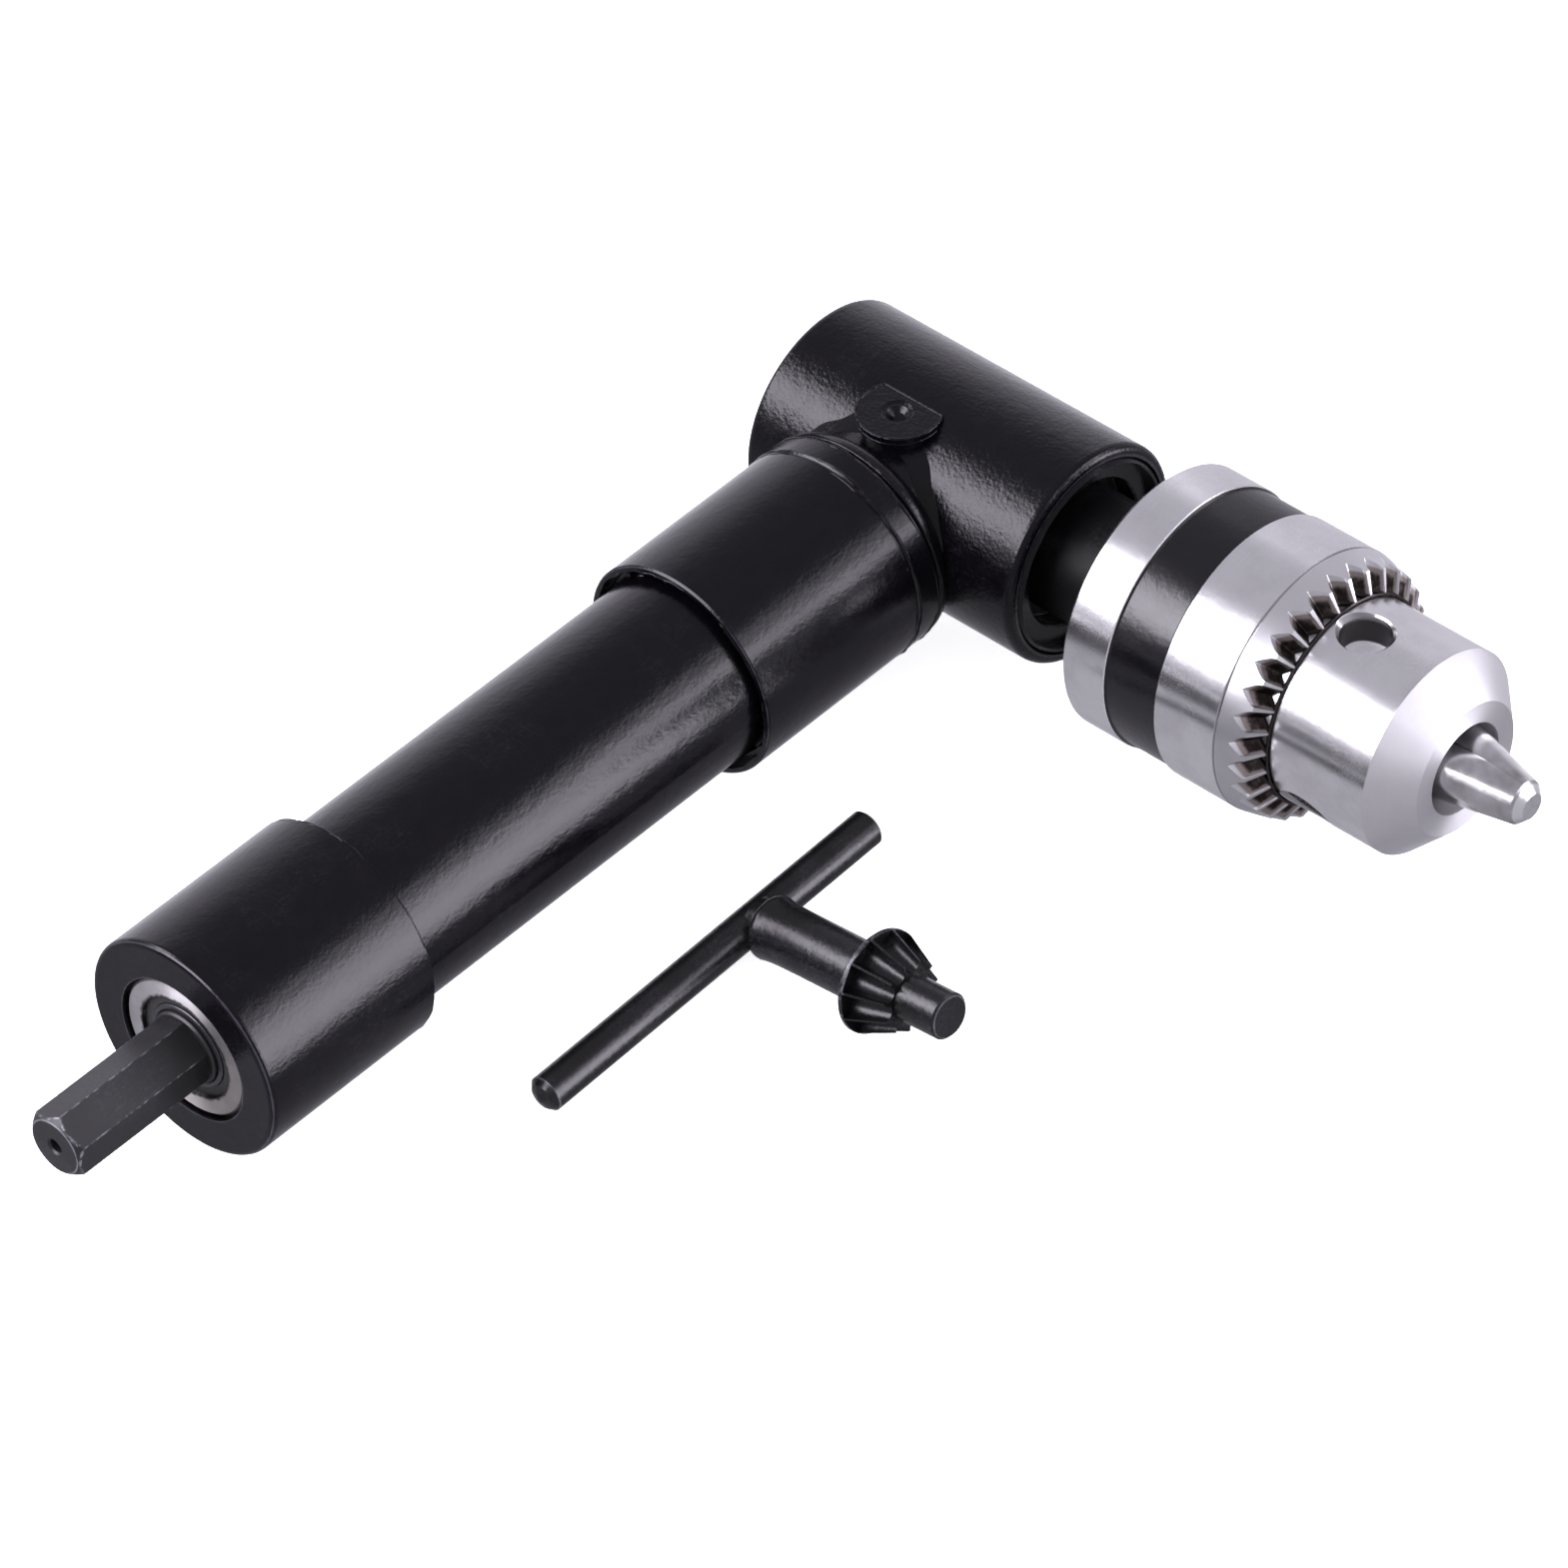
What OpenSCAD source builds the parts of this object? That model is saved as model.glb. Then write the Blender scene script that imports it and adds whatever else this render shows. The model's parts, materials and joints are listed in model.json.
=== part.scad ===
// Right angle drill attachment: a hex driven shaft, a pair of bevel gears and a keyed
// three jaw chuck set square to the input, with its loose chuck key.
// Frame: the origin is the centre of the shank's end face, the input axis runs along +Y,
// the output axis runs along +X, and +Z is up as the tool lies flat on a bench.

/* [Drive shank and shaft] */
// Across flats of the hex shank
hex_flats = 8; // [7:0.1:8.6]
// Bare length of shank outside the rear collar
shank_reach = 20.8; // [16:0.1:40]
// Distance from the shank's end to the output axis
shank_to_cross = 153; // [135:1:240]
// Chamfer round the shank's end
shank_chamfer = 0.9; // [0.3:0.1:1.2]
// Turn of the hex about its axis in degrees
shank_turn = 22.5; // [0:0.5:59]
// Diameter of the lathe centre hole in the shank's end
centre_hole_d = 1.9; // [1:0.1:3]
// Depth of the lathe centre hole
centre_hole_depth = 2.6; // [1:0.1:6]
// Diameter of the shaft inside its two bearings
shaft_seat_d = 10; // [10:0.1:10.6]
// Diameter of the shaft between the bearings
shaft_body_d = 12; // [11.6:0.1:13]
// Diameter of the shaft inside the bevel pinion
shaft_nose_d = 8; // [6:0.1:8.4]

/* [Shaft bearings] */
// Outer diameter of a shaft bearing
shaft_bearing_d = 19; // [18.6:0.1:19.4]
// Width of a shaft bearing
shaft_bearing_w = 5; // [4.6:0.1:6]
// Diameter of a ball as a share of the wall of a shaft bearing
shaft_ball_share = 0.4; // [0.36:0.01:0.42]

/* [Rear collar] */
// Diameter of the rear collar
rear_collar_d = 30; // [28.4:0.1:36]
// Length of the rear collar
rear_collar_len = 27; // [20:0.5:36]
// Width of the dark gap round the rear bearing
bearing_gap = 0.4; // [0.2:0.1:1]
// Depth of the bearing below the collar's face
bearing_set = 0.5; // [0.2:0.1:1.2]
// Rounding of the collar's outer edge
collar_edge = 0.8; // [0.3:0.1:1.5]

/* [Middle tube] */
// Diameter of the middle tube
tube_d = 25.7; // [25.2:0.1:27]
// Wall of the middle tube
tube_wall = 2.6; // [1.5:0.1:3]

/* [Front collar and neck] */
// Diameter of the front collar and the lock ring
front_collar_d = 29.5; // [28.6:0.1:34]
// Length of the front collar
front_collar_len = 27; // [24:0.5:40]
// Distance from the output axis to the lock ring's far face
neck_reach = 16.5; // [16:0.1:20]
// Length of the lock ring
lock_ring_len = 3.7; // [2:0.1:6]
// Diameter of the head's neck
neck_d = 24.6; // [24:0.1:25]
// Length of the neck hidden in the ring and the collar
neck_tail = 17.5; // [12:0.5:20]
// Depth of the recess at the collar's tube end
collar_recess = 1.6; // [1:0.1:4]
// Wall left round the recess at the collar's tube end
collar_lip = 0.8; // [0.5:0.1:1]
// Chamfer at each seam
seam_chamfer = 0.25; // [0.1:0.05:0.5]

/* [Gear head] */
// Diameter of the head
head_d = 29.8; // [28.6:0.1:34]
// Distance from the input axis to the head's closed end
head_back = 19.3; // [19:0.1:24]
// Distance from the input axis to the head's mouth
head_front = 24.6; // [24:0.1:30]
// Rounding of the head's closed end
head_edge = 1.1; // [0.4:0.1:1.6]
// Rounding of the head's mouth
mouth_edge = 1.1; // [0.4:0.1:1.2]
// Height of the lug's flat top above the axes
lug_height = 14.5; // [13.6:0.05:14.8]
// Radius of the lug's round side
lug_r = 5.4; // [4.8:0.1:6]
// Thickness of the lug's top plate
lug_plate = 0.9; // [0.5:0.1:1.2]
// Step from the lug's top plate in to its stem
lug_step = 0.8; // [0.3:0.1:1.2]
// Distance from the output axis to the middle of the lug's round side
lug_reach = 6.7; // [6:0.1:7.4]
// Distance from the output axis to the dimple in the lug
lug_dimple_reach = 7.1; // [6.6:0.1:7.6]
// Distance from the output axis to the lug's straight side
lug_chord_reach = 4.1; // [3.6:0.1:4.4]
// Diameter of the dimple in the lug
dimple_d = 3.5; // [2:0.1:3.8]
// Depth of the dimple in the lug
dimple_depth = 1.7; // [0.8:0.1:2]

/* [Bevel gears] */
// Teeth on each bevel gear
gear_teeth = 18; // [18:2:18]
// Module of the bevel gears
gear_module = 1; // [0.9:0.05:1]
// Face width of the bevel teeth
gear_face = 4; // [3:0.1:4.2]
// Length of a bevel gear's hub behind its teeth
gear_hub = 2.5; // [2.4:0.1:3]
// Diameter of a bevel gear's hub
gear_hub_d = 13; // [12:0.1:14]
// Diameter of the pin through a bevel gear's hub
gear_pin_d = 1.4; // [1:0.1:1.6]

/* [Output spindle] */
// Outer diameter of the bearing in the closed end
end_bearing_d = 16; // [15.6:0.1:17]
// Width of the bearing in the closed end
end_bearing_w = 5; // [4:0.1:5.2]
// Diameter of a ball in the closed end's bearing
end_ball_d = 1.8; // [1.5:0.1:2]
// Diameter of the spindle in the closed end
spindle_tail_d = 8; // [7.4:0.1:8.2]
// Diameter of the spindle in the mouth's bearing
spindle_d = 12; // [11.6:0.1:12.6]
// Outer diameter of the bearing in the mouth
mouth_bearing_d = 24; // [23.4:0.1:24.4]
// Width of the bearing in the mouth
mouth_bearing_w = 6; // [5:0.1:6.4]
// Diameter of a ball in the mouth's bearing
mouth_ball_d = 2.6; // [2.2:0.1:2.8]
// Distance from the head's mouth in to the bearing's front face
mouth_depth = 4.3; // [3.6:0.1:4.8]
// Diameter of the collar between the head and the chuck
spindle_collar_d = 17; // [16:0.1:19]
// Major diameter of the spindle's nose in the chuck
nose_thread_d = 9.525; // [9:0.005:10]
// Length of the spindle's nose in the chuck
nose_len = 13.5; // [10:0.1:14]

/* [Chuck] */
// Turn of the chuck about its axis in degrees
chuck_turn = 1.5; // [0:0.5:119]
// Distance from the input axis to the back of the chuck
chuck_back = 34.6; // [33:0.1:40]
// Length of the chuck's body
chuck_len = 49.5; // [49:0.1:56]
// Diameter of the chuck's nose
chuck_nose_d = 27.4; // [27:0.1:28]
// Diameter of the chuck's flat front face
chuck_face_d = 18; // [15:0.1:20]
// Length of the cone on the chuck's nose
chuck_cone_len = 4.6; // [3:0.1:5.2]
// Diameter of the bore in the chuck's face
chuck_mouth_d = 12.4; // [12:0.1:13.4]
// Diameter of a key hole
key_hole_d = 6.5; // [6.1:0.05:6.8]
// Distance from the key holes to the chuck's front face
key_hole_reach = 15; // [14:0.1:15.2]
// Distance from the chuck's axis to the bottom of a key hole
key_hole_floor = 8.6; // [7:0.1:9.4]
// Chamfer at the rim of a key hole
key_hole_chamfer = 0.65; // [0.2:0.05:0.8]

/* [Chuck sleeve] */
// Diameter of the toothed sleeve
sleeve_d = 35.4; // [35:0.1:38]
// Distance from the chuck's back to the sleeve's back
sleeve_set = 0.8; // [0.4:0.1:2]
// Length of the sleeve's bright rear ring
rear_ring_len = 6.9; // [4:0.1:8]
// Length of the sleeve's dark band
band_len = 7.9; // [5:0.1:8.4]
// Depth of the sleeve's dark band
band_depth = 0.35; // [0.1:0.05:0.6]
// Distance from the sleeve's front to its thin line
line_reach = 5.4; // [5.2:0.1:6.5]
// Teeth on the sleeve
sleeve_teeth = 30; // [26:1:32]
// Drop in radius from the thin line to the tooth crests
crest_drop = 0.9; // [0.6:0.05:1.2]
// Distance from the sleeve's front to the crests' outer ends
crest_reach = 1.4; // [1.2:0.1:1.8]
// Length of a tooth gap along the sleeve's edge
gap_len = 2.1; // [1.6:0.1:2.2]

/* [Jaws] */
// Diameter of a jaw
jaw_d = 6.2; // [6:0.1:6.3]
// Reach of the closed jaws past the chuck's face
jaw_reach = 10.3; // [9:0.1:11]
// Distance of a closed jaw's axis from the chuck's axis at the face
jaw_offset = 2; // [1.9:0.05:2.1]
// Largest drill that the jaws take
drill_max = 10; // [8:0.5:10]
// Distance from the chuck's face back to the closed jaws' rear ends
jaw_tail = 25.5; // [25:0.1:26]
// Length of the closing nut
nut_len = 4.8; // [4:0.1:4.9]

/* [Chuck key] */
// Diameter of the key's bar
bar_d = 4.8; // [4:0.1:5.4]
// Length of the bar's long side
bar_long = 37.2; // [28:0.2:44]
// Length of the bar's short side
bar_short = 19.9; // [12:0.1:24]
// Diameter of the key's stem
stem_d = 7.6; // [7:0.1:9]
// Distance from the bar to the back of the pinion
stem_len = 19.8; // [14:0.1:24]
// Large diameter of the key's pinion
pinion_d = 13.4; // [13:0.1:14.2]
// Small diameter of the key's pinion
pinion_nose_d = 9.2; // [8.8:0.1:9.8]
// Length of the key's pinion
pinion_len = 5.8; // [5.2:0.1:7]
// Teeth on the key's pinion
pinion_teeth = 11; // [9:1:11]
// Diameter of the key's pilot
pilot_d = 6; // [5.6:0.05:6]
// Length of the key's pilot
pilot_len = 6.5; // [5:0.1:7]
// Place of the key beside the tool, across and along the input axis
key_place = [26.6, 89.8]; // [20:0.1:120]
// Lean of the stem up from the bench in degrees
key_lean = 6.9; // [6.5:0.1:7.2]
// Rise of the bar along its short side in degrees
key_rise = 2.8; // [2.7:0.1:2.9]
// Turn of the key seen from above in degrees
key_turn = -0.4; // [-3:0.1:3]

/* [Hidden] */
$fn = 96;
// Overrun of every cut past the face that it leaves
over = 0.5;
// Running clearance on the radius
run_gap = 0.05;
// Half the gap between closed jaws
jaw_gap = 0.02;
// Clearance of a ball in its grooves and its pocket
ball_gap = 0.05;
// Place of the shaft bearings' ball circle between bore and outside, and shares of a ball's diameter
// that give the lands beside it and the width of its cage
race_share = 0.31778;
shaft_land_share = 0.355;
end_land_share = 0.33;
mouth_land_share = 0.36;
cage_share = 1.5;
bore_chamfer_share = 0.8;
// Thickness of the circlips, of the seals and of the thrust washer
clip_t = 1;
seal_t = 0.5;
seal_set = 0.6;
inner_set = 0.3;
washer_t = 0.8;
// Depth of a circlip's groove, and the circlips' radial width
clip_groove = 0.4;
clip_w = 0.9;
// Inner step of the rear collar and of the mouth
shoulder_len = 2.2;
shoulder_in = 1.9;
neck_lip = 1;
neck_lip_in = 0.9;
mouth_wall = 1.55;
ring_wall = 0.85;
ring_depth = 1.5;
ring_flange_in = 3.4;
ring_set = 0.4;
// Clearance round the gears inside the head
gear_room = 0.5;
gear_backlash = 0.24;
flank_angle = 20;
dedendum_share = 1.2;
gap_top_share = 1.3;
gap_near_share = 0.9;
gap_far_share = 1.08;
// Walls of the chuck's sleeve and its inner steps
sleeve_wall = 1.4;
nut_wall = 2.4;
nut_front_wall = 2.9;
// Distance from the nut's outside in to the closed jaws' axes at its back
nut_axis_depth = 6.643;
core_gap = 0.7;
nut_slot = 0.3;
groove_room = 0.2;
rear_chamfer = 0.5;
mouth_bore_depth = 6;
drill_clear = 0.1;
jaw_bore_wall = 3;
tip_chamfer = 0.9;
tip_r = 1.75;
nose_chamfer = 0.5;
line_w = 0.2;
face_gap = 0.2;
line_depth = 0.12;
crest_land = 0.14;
flank_shares = [0, 0.1, 0.22, 0.36, 1];
flank_back_shares = [1, 0.36, 0.22, 0.1, 0];
flank_bow_share = 0.9;
rim_land = 0.2;
sleeve_mouth_gap = 0.2;
gap_inner_share = 0.83;
// Key details
bar_chamfer = 0.7;
bar_point = 0.6;
stem_neck = 0.7;
stem_saddle = 0.5;
tenon_d = 2.4;
tenon_len = 1.2;
flange_t = 0.7;
pinion_floor_big = 4.5;
pinion_floor_small = 3.15;
pinion_cut_big = 1.75;
pinion_cut_small = 1.08;
pilot_chamfer = 0.45;
dimple_ring_d = 4.3;
dimple_ring_depth = 0.25;
shaft_nose_gap = 0.4;
spindle_step = 9;
spindle_step_wall = 1.2;
edge_steps = 5;

// Lengths along the input axis, from the shank's end
cross = shank_to_cross;
rear_bearing_y = shank_reach + bearing_set;
rear_seat_y = rear_bearing_y + shaft_bearing_w;
tube_start = rear_seat_y + shoulder_len;
rear_collar_end = shank_reach + rear_collar_len;
gear_cone = gear_module * gear_teeth / 2;
gear_add = gear_module * sqrt(0.5);
gear_ded = dedendum_share * gear_module * sqrt(0.5);
gear_back = gear_cone + gear_ded + gear_hub;
gear_inner_share = 1 - gear_face / (gear_cone * sqrt(2));
front_bearing_y = cross - gear_back - shaft_bearing_w;
lock_ring_y = cross - neck_reach - lock_ring_len;
neck_end_y = lock_ring_y - (neck_tail - lock_ring_len);
front_collar_y = lock_ring_y - front_collar_len;
// Lengths along the output axis, from the input axis
end_bearing_x = -gear_back - end_bearing_w;
mouth_bearing_x = head_front - mouth_depth - mouth_bearing_w;
mouth_seat_x = mouth_bearing_x + mouth_bearing_w;
chuck_face = chuck_back + chuck_len;
sleeve_x = chuck_back + sleeve_set;
cone_x = chuck_face - chuck_cone_len;
key_hole_x = chuck_face - key_hole_reach;
jaw_tip = chuck_face + jaw_reach;
jaw_rear = chuck_face - jaw_tail;
jaw_open = drill_max / 2;
// The nut sits round the rear ends of the closed jaws, just behind the teeth
nut_x = jaw_rear - nut_len / 4;
nut_end = nut_x + nut_len;
sleeve_end = nut_end + nut_front_wall;
line_x = sleeve_end - line_reach;
crest_x = sleeve_end - crest_reach;
root_x = crest_x - gap_len;
sleeve_r = sleeve_d / 2;
nut_r = sleeve_r - nut_wall;
// The jaws lie along the lines from the tips to the nut's thread
jaw_slope = atan((nut_r - nut_axis_depth - jaw_offset) / (chuck_face - nut_x));
crest_r = sleeve_r - crest_drop;
root_r = sleeve_r - crest_drop * (root_x - line_x) / (crest_x - line_x);
mouth_r = chuck_nose_d / 2 + sleeve_mouth_gap;
rim_r = mouth_r + rim_land;
// A gap's floor runs from the outer cone to the sleeve's mouth, where it is as deep as the share says
root_in_x = sleeve_end - (crest_x - root_x) * gap_inner_share;
root_in_r = rim_r + (root_r - crest_r) * gap_inner_share;
root_slope = atan((root_in_x - root_x) / (root_r - root_in_r));
gap_depth = (root_r - crest_r) * -sin(root_slope) + (crest_x - root_x) * cos(root_slope);
gap_half = PI * crest_r / sleeve_teeth - crest_land;
sleeve_bore_r = sleeve_r - sleeve_wall;
body_r = sleeve_bore_r - run_gap;
jaw_wide = jaw_d / 2 / cos(jaw_slope);
function jaw_axis_r(x) = jaw_offset + (chuck_face - x) * tan(jaw_slope);
function jaw_out_r(x) = jaw_axis_r(x) + jaw_wide;
core_r = jaw_out_r(nut_end) - core_gap;
bench = -sleeve_r;

// Placing
module on_input() { rotate([-90, 0, 0]) children(); }
module on_output() { translate([0, cross, 0]) rotate([0, 90, 0]) children(); }
module on_jaw(i) { on_output() rotate([0, 0, chuck_turn + 120 + 120 * i]) children(); }
module on_key() {
    translate([key_place[0], key_place[1], key_height()])
        rotate([0, 0, key_turn]) rotate([key_rise, 0, 0]) rotate([0, -key_lean, 0]) children();
}
// The key lies on the long end of its bar and on its pinion's rim
function key_height() = bench + bar_d / 2 * cos(key_rise) + bar_long * sin(key_rise);

// Shapes
module lathe(outline) { rotate_extrude() polygon(outline); }
module sleeve_tube(d_out, d_in, z, len) {
    lathe([[d_in / 2, z], [d_out / 2, z], [d_out / 2, z + len], [d_in / 2, z + len]]);
}
function fillet(r, z, size, a0, a1) =
    [for (i = [0:edge_steps]) [r + size * cos(a0 + (a1 - a0) * i / edge_steps),
                               z + size * sin(a0 + (a1 - a0) * i / edge_steps)]];
module bearing_outer(z, w, d, pitch_d, ball, lip) {
    difference() {
        lathe([[pitch_d / 2 + lip, z], [d / 2 - seam_chamfer, z], [d / 2, z + seam_chamfer],
               [d / 2, z + w - seam_chamfer], [d / 2 - seam_chamfer, z + w], [pitch_d / 2 + lip, z + w]]);
        translate([0, 0, z + w / 2]) rotate_extrude() translate([pitch_d / 2, 0]) circle(d = ball + 2 * ball_gap);
    }
}
module bearing_inner(z, w, bore, pitch_d, ball, lip, set) {
    c = seam_chamfer * bore_chamfer_share;
    difference() {
        lathe([[bore / 2, z + set + c], [bore / 2 + c, z + set], [pitch_d / 2 - lip - c / 2, z + set],
               [pitch_d / 2 - lip, z + set + c / 2], [pitch_d / 2 - lip, z + w], [bore / 2, z + w]]);
        translate([0, 0, z + w / 2]) rotate_extrude() translate([pitch_d / 2, 0]) circle(d = ball + 2 * ball_gap);
    }
}
module bearing_balls(z, w, pitch_d, ball, count) {
    for (i = [0:count - 1])
        rotate([0, 0, 360 * i / count]) translate([pitch_d / 2, 0, z + w / 2]) sphere(d = ball);
}
module bearing_cage(z, w, pitch_d, ball, count, lip) {
    wide = ball * cage_share;
    difference() {
        sleeve_tube(pitch_d + lip, pitch_d - lip, z + w / 2 - wide / 2, wide);
        for (i = [0:count - 1])
            rotate([0, 0, 360 * i / count]) translate([pitch_d / 2 - ball, 0, z + w / 2])
                rotate([0, 90, 0]) cylinder(d = ball + 2 * ball_gap, h = 2 * ball);
    }
}
// Ball circles, and the width of the rings' lands on each side of them
shaft_ball_d = shaft_ball_share * (shaft_bearing_d - shaft_seat_d) / 2;
shaft_pitch_d = shaft_seat_d + race_share * (shaft_bearing_d - shaft_seat_d);
shaft_lip = shaft_ball_d * shaft_land_share;
shaft_balls = 11;
end_pitch_d = (spindle_tail_d + end_bearing_d) / 2;
end_lip = end_ball_d * end_land_share;
end_balls = 9;
mouth_pitch_d = (spindle_d + mouth_bearing_d) / 2;
mouth_lip = mouth_ball_d * mouth_land_share;
mouth_balls = 11;

// Bevel gear with its apex at the origin and its back toward -Z
function cone_point(h, w, s) = [(gear_cone + h * sqrt(0.5)) * s, w * s, -(gear_cone - h * sqrt(0.5)) * s];
module tooth_gap() {
    top = gear_module * gap_top_share;
    low = -gear_module * dedendum_share;
    mid = PI * gear_module / 4 + gear_backlash / 2;
    w_top = mid + top * tan(flank_angle);
    w_low = mid + low * tan(flank_angle);
    near = gear_inner_share * gap_near_share;
    far = gap_far_share;
    polyhedron(points = [cone_point(low, -w_low, far), cone_point(low, w_low, far),
                         cone_point(top, w_top, far), cone_point(top, -w_top, far),
                         cone_point(low, -w_low, near), cone_point(low, w_low, near),
                         cone_point(top, w_top, near), cone_point(top, -w_top, near)],
               faces = [[3, 2, 1, 0], [4, 5, 6, 7], [1, 5, 4, 0], [2, 6, 5, 1], [3, 7, 6, 2], [0, 4, 7, 3]]);
}
module bevel(bore, turn) {
    k = gear_inner_share;
    difference() {
        lathe([[bore / 2, -gear_back], [gear_hub_d / 2, -gear_back], [gear_hub_d / 2, -gear_cone - gear_ded],
               [gear_cone - gear_ded, -gear_cone - gear_ded], [gear_cone + gear_add, -gear_cone + gear_add],
               [(gear_cone + gear_add) * k, -(gear_cone - gear_add) * k],
               [(gear_cone - gear_ded) * k, -(gear_cone + gear_ded) * k], [bore / 2, -(gear_cone + gear_ded) * k]]);
        for (i = [0:gear_teeth - 1]) rotate([0, 0, turn + 360 * i / gear_teeth]) tooth_gap();
        gear_pin_hole();
    }
}
module gear_pin_hole() {
    translate([-gear_hub_d, 0, -gear_back + gear_hub / 2]) rotate([0, 90, 0])
        cylinder(d = gear_pin_d, h = 2 * gear_hub_d);
}
module gear_pin() {
    translate([-gear_hub_d / 2 + face_gap, 0, -gear_back + gear_hub / 2]) rotate([0, 90, 0])
        cylinder(d = gear_pin_d, h = gear_hub_d - 2 * face_gap);
}

// Housing
module rear_collar() {
    r = rear_collar_d / 2;
    color([0.10, 0.10, 0.11]) on_input() difference() {
        lathe(concat([[0, shank_reach]],
                     fillet(r - collar_edge, shank_reach + collar_edge, collar_edge, -90, 0),
                     [[r, rear_collar_end - seam_chamfer], [r - seam_chamfer, rear_collar_end],
                      [0, rear_collar_end]]));
        translate([0, 0, shank_reach - over])
            cylinder(d = shaft_bearing_d + 2 * bearing_gap, h = over + 2 * bearing_set + seam_chamfer);
        translate([0, 0, shank_reach]) cylinder(d = shaft_bearing_d, h = rear_seat_y - shank_reach);
        translate([0, 0, shank_reach]) cylinder(r = shaft_bearing_d / 2 - shoulder_in, h = rear_collar_len);
        translate([0, 0, tube_start]) cylinder(d = tube_d, h = rear_collar_end - tube_start + over);
    }
}
module middle_tube() {
    color([0.13, 0.13, 0.14]) on_input()
        sleeve_tube(tube_d, tube_d - 2 * tube_wall, tube_start, neck_end_y - tube_start);
}
module front_collar() {
    r = front_collar_d / 2;
    color([0.09, 0.09, 0.10]) on_input() difference() {
        lathe(concat([[0, front_collar_y], [r - seam_chamfer, front_collar_y], [r, front_collar_y + seam_chamfer],
                      [r, lock_ring_y - seam_chamfer], [r - seam_chamfer, lock_ring_y], [0, lock_ring_y]]));
        translate([0, 0, front_collar_y - over]) cylinder(r = r - collar_lip, h = collar_recess + over);
        translate([0, 0, front_collar_y]) cylinder(d = tube_d, h = neck_end_y - front_collar_y);
        translate([0, 0, front_collar_y]) cylinder(d = neck_d, h = front_collar_len + over);
    }
}
module lock_ring() {
    r = front_collar_d / 2;
    z = lock_ring_y;
    color([0.08, 0.08, 0.09]) on_input()
        lathe([[neck_d / 2, z], [r - seam_chamfer, z], [r, z + seam_chamfer], [r, z + lock_ring_len - seam_chamfer],
               [r - seam_chamfer, z + lock_ring_len], [neck_d / 2, z + lock_ring_len]]);
}
module head_shell() {
    r = head_d / 2;
    on_output()
        lathe(concat([[0, -head_back]], fillet(r - head_edge, head_edge - head_back, head_edge, -90, 0),
                     fillet(r - mouth_edge, head_front - mouth_edge, mouth_edge, 0, 90), [[0, head_front]]));
    on_input() translate([0, 0, neck_end_y]) cylinder(d = neck_d, h = cross - neck_end_y);
    lug_part(lug_r, lug_height - lug_plate, lug_plate);
    lug_part(lug_r - lug_step, 0, lug_height - lug_plate / 2);
    lug_part(lug_r - lug_step / 2, 0, lug_height - lug_plate - lug_step / 2);
}
module lug_part(r, z, h) {
    centre = cross - lug_reach;
    edge = cross - lug_chord_reach;
    intersection() {
        translate([0, centre, z]) cylinder(r = r, h = h);
        translate([-2 * r, edge - 4 * r, z]) cube([4 * r, 4 * r, h]);
    }
}
module head_housing() {
    bore_back = -gear_back;
    color([0.10, 0.10, 0.11]) difference() {
        head_shell();
        on_output() {
            translate([0, 0, bore_back]) cylinder(d = mouth_bearing_d, h = head_front - bore_back);
            translate([0, 0, end_bearing_x]) cylinder(d = end_bearing_d, h = head_front - end_bearing_x);
            translate([0, 0, mouth_seat_x])
                cylinder(r = head_d / 2 - mouth_wall, h = head_front - mouth_seat_x + over);
        }
        on_input() {
            translate([0, 0, neck_end_y - over])
                cylinder(d = shaft_bearing_d, h = front_bearing_y + shaft_bearing_w - neck_end_y + over);
            translate([0, 0, front_bearing_y])
                cylinder(r = shaft_bearing_d / 2 - neck_lip_in, h = cross - front_bearing_y);
            translate([0, 0, front_bearing_y + shaft_bearing_w + neck_lip])
                cylinder(r = gear_cone + gear_add + gear_room, h = gear_back - neck_lip);
            translate([0, 0, front_bearing_y - clip_t])
                cylinder(r = shaft_bearing_d / 2 + clip_groove, h = clip_t);
        }
        translate([0, cross - lug_dimple_reach, lug_height - dimple_depth])
            cylinder(d1 = 0, d2 = dimple_d, h = dimple_depth);
        translate([0, cross - lug_dimple_reach, lug_height - dimple_ring_depth])
            cylinder(d1 = dimple_d, d2 = dimple_ring_d, h = dimple_ring_depth);
        translate([0, cross - lug_dimple_reach, lug_height - line_depth / 2])
            cylinder(d = dimple_ring_d, h = over);
    }
}
module neck_circlip() {
    z = front_bearing_y - clip_t;
    r = shaft_bearing_d / 2 + clip_groove;
    color([0.25, 0.25, 0.27]) on_input() rotate([0, 0, 20]) rotate_extrude(angle = 320)
        polygon([[r - clip_w - clip_groove, z], [r, z], [r, z + clip_t], [r - clip_w - clip_groove, z + clip_t]]);
}
module mouth_ring() {
    r = head_d / 2 - mouth_wall;
    z = mouth_seat_x;
    e = head_front + ring_set;
    f = e - ring_depth;
    color([0.07, 0.07, 0.08]) on_output()
        lathe([[r - ring_flange_in, z], [r, z], [r, head_front - ring_set], [r - ring_wall + seam_chamfer, e],
               [r - ring_wall, e - seam_chamfer], [r - ring_wall, f], [r - ring_flange_in + seam_chamfer, f],
               [r - ring_flange_in, f - seam_chamfer]]);
}

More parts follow.
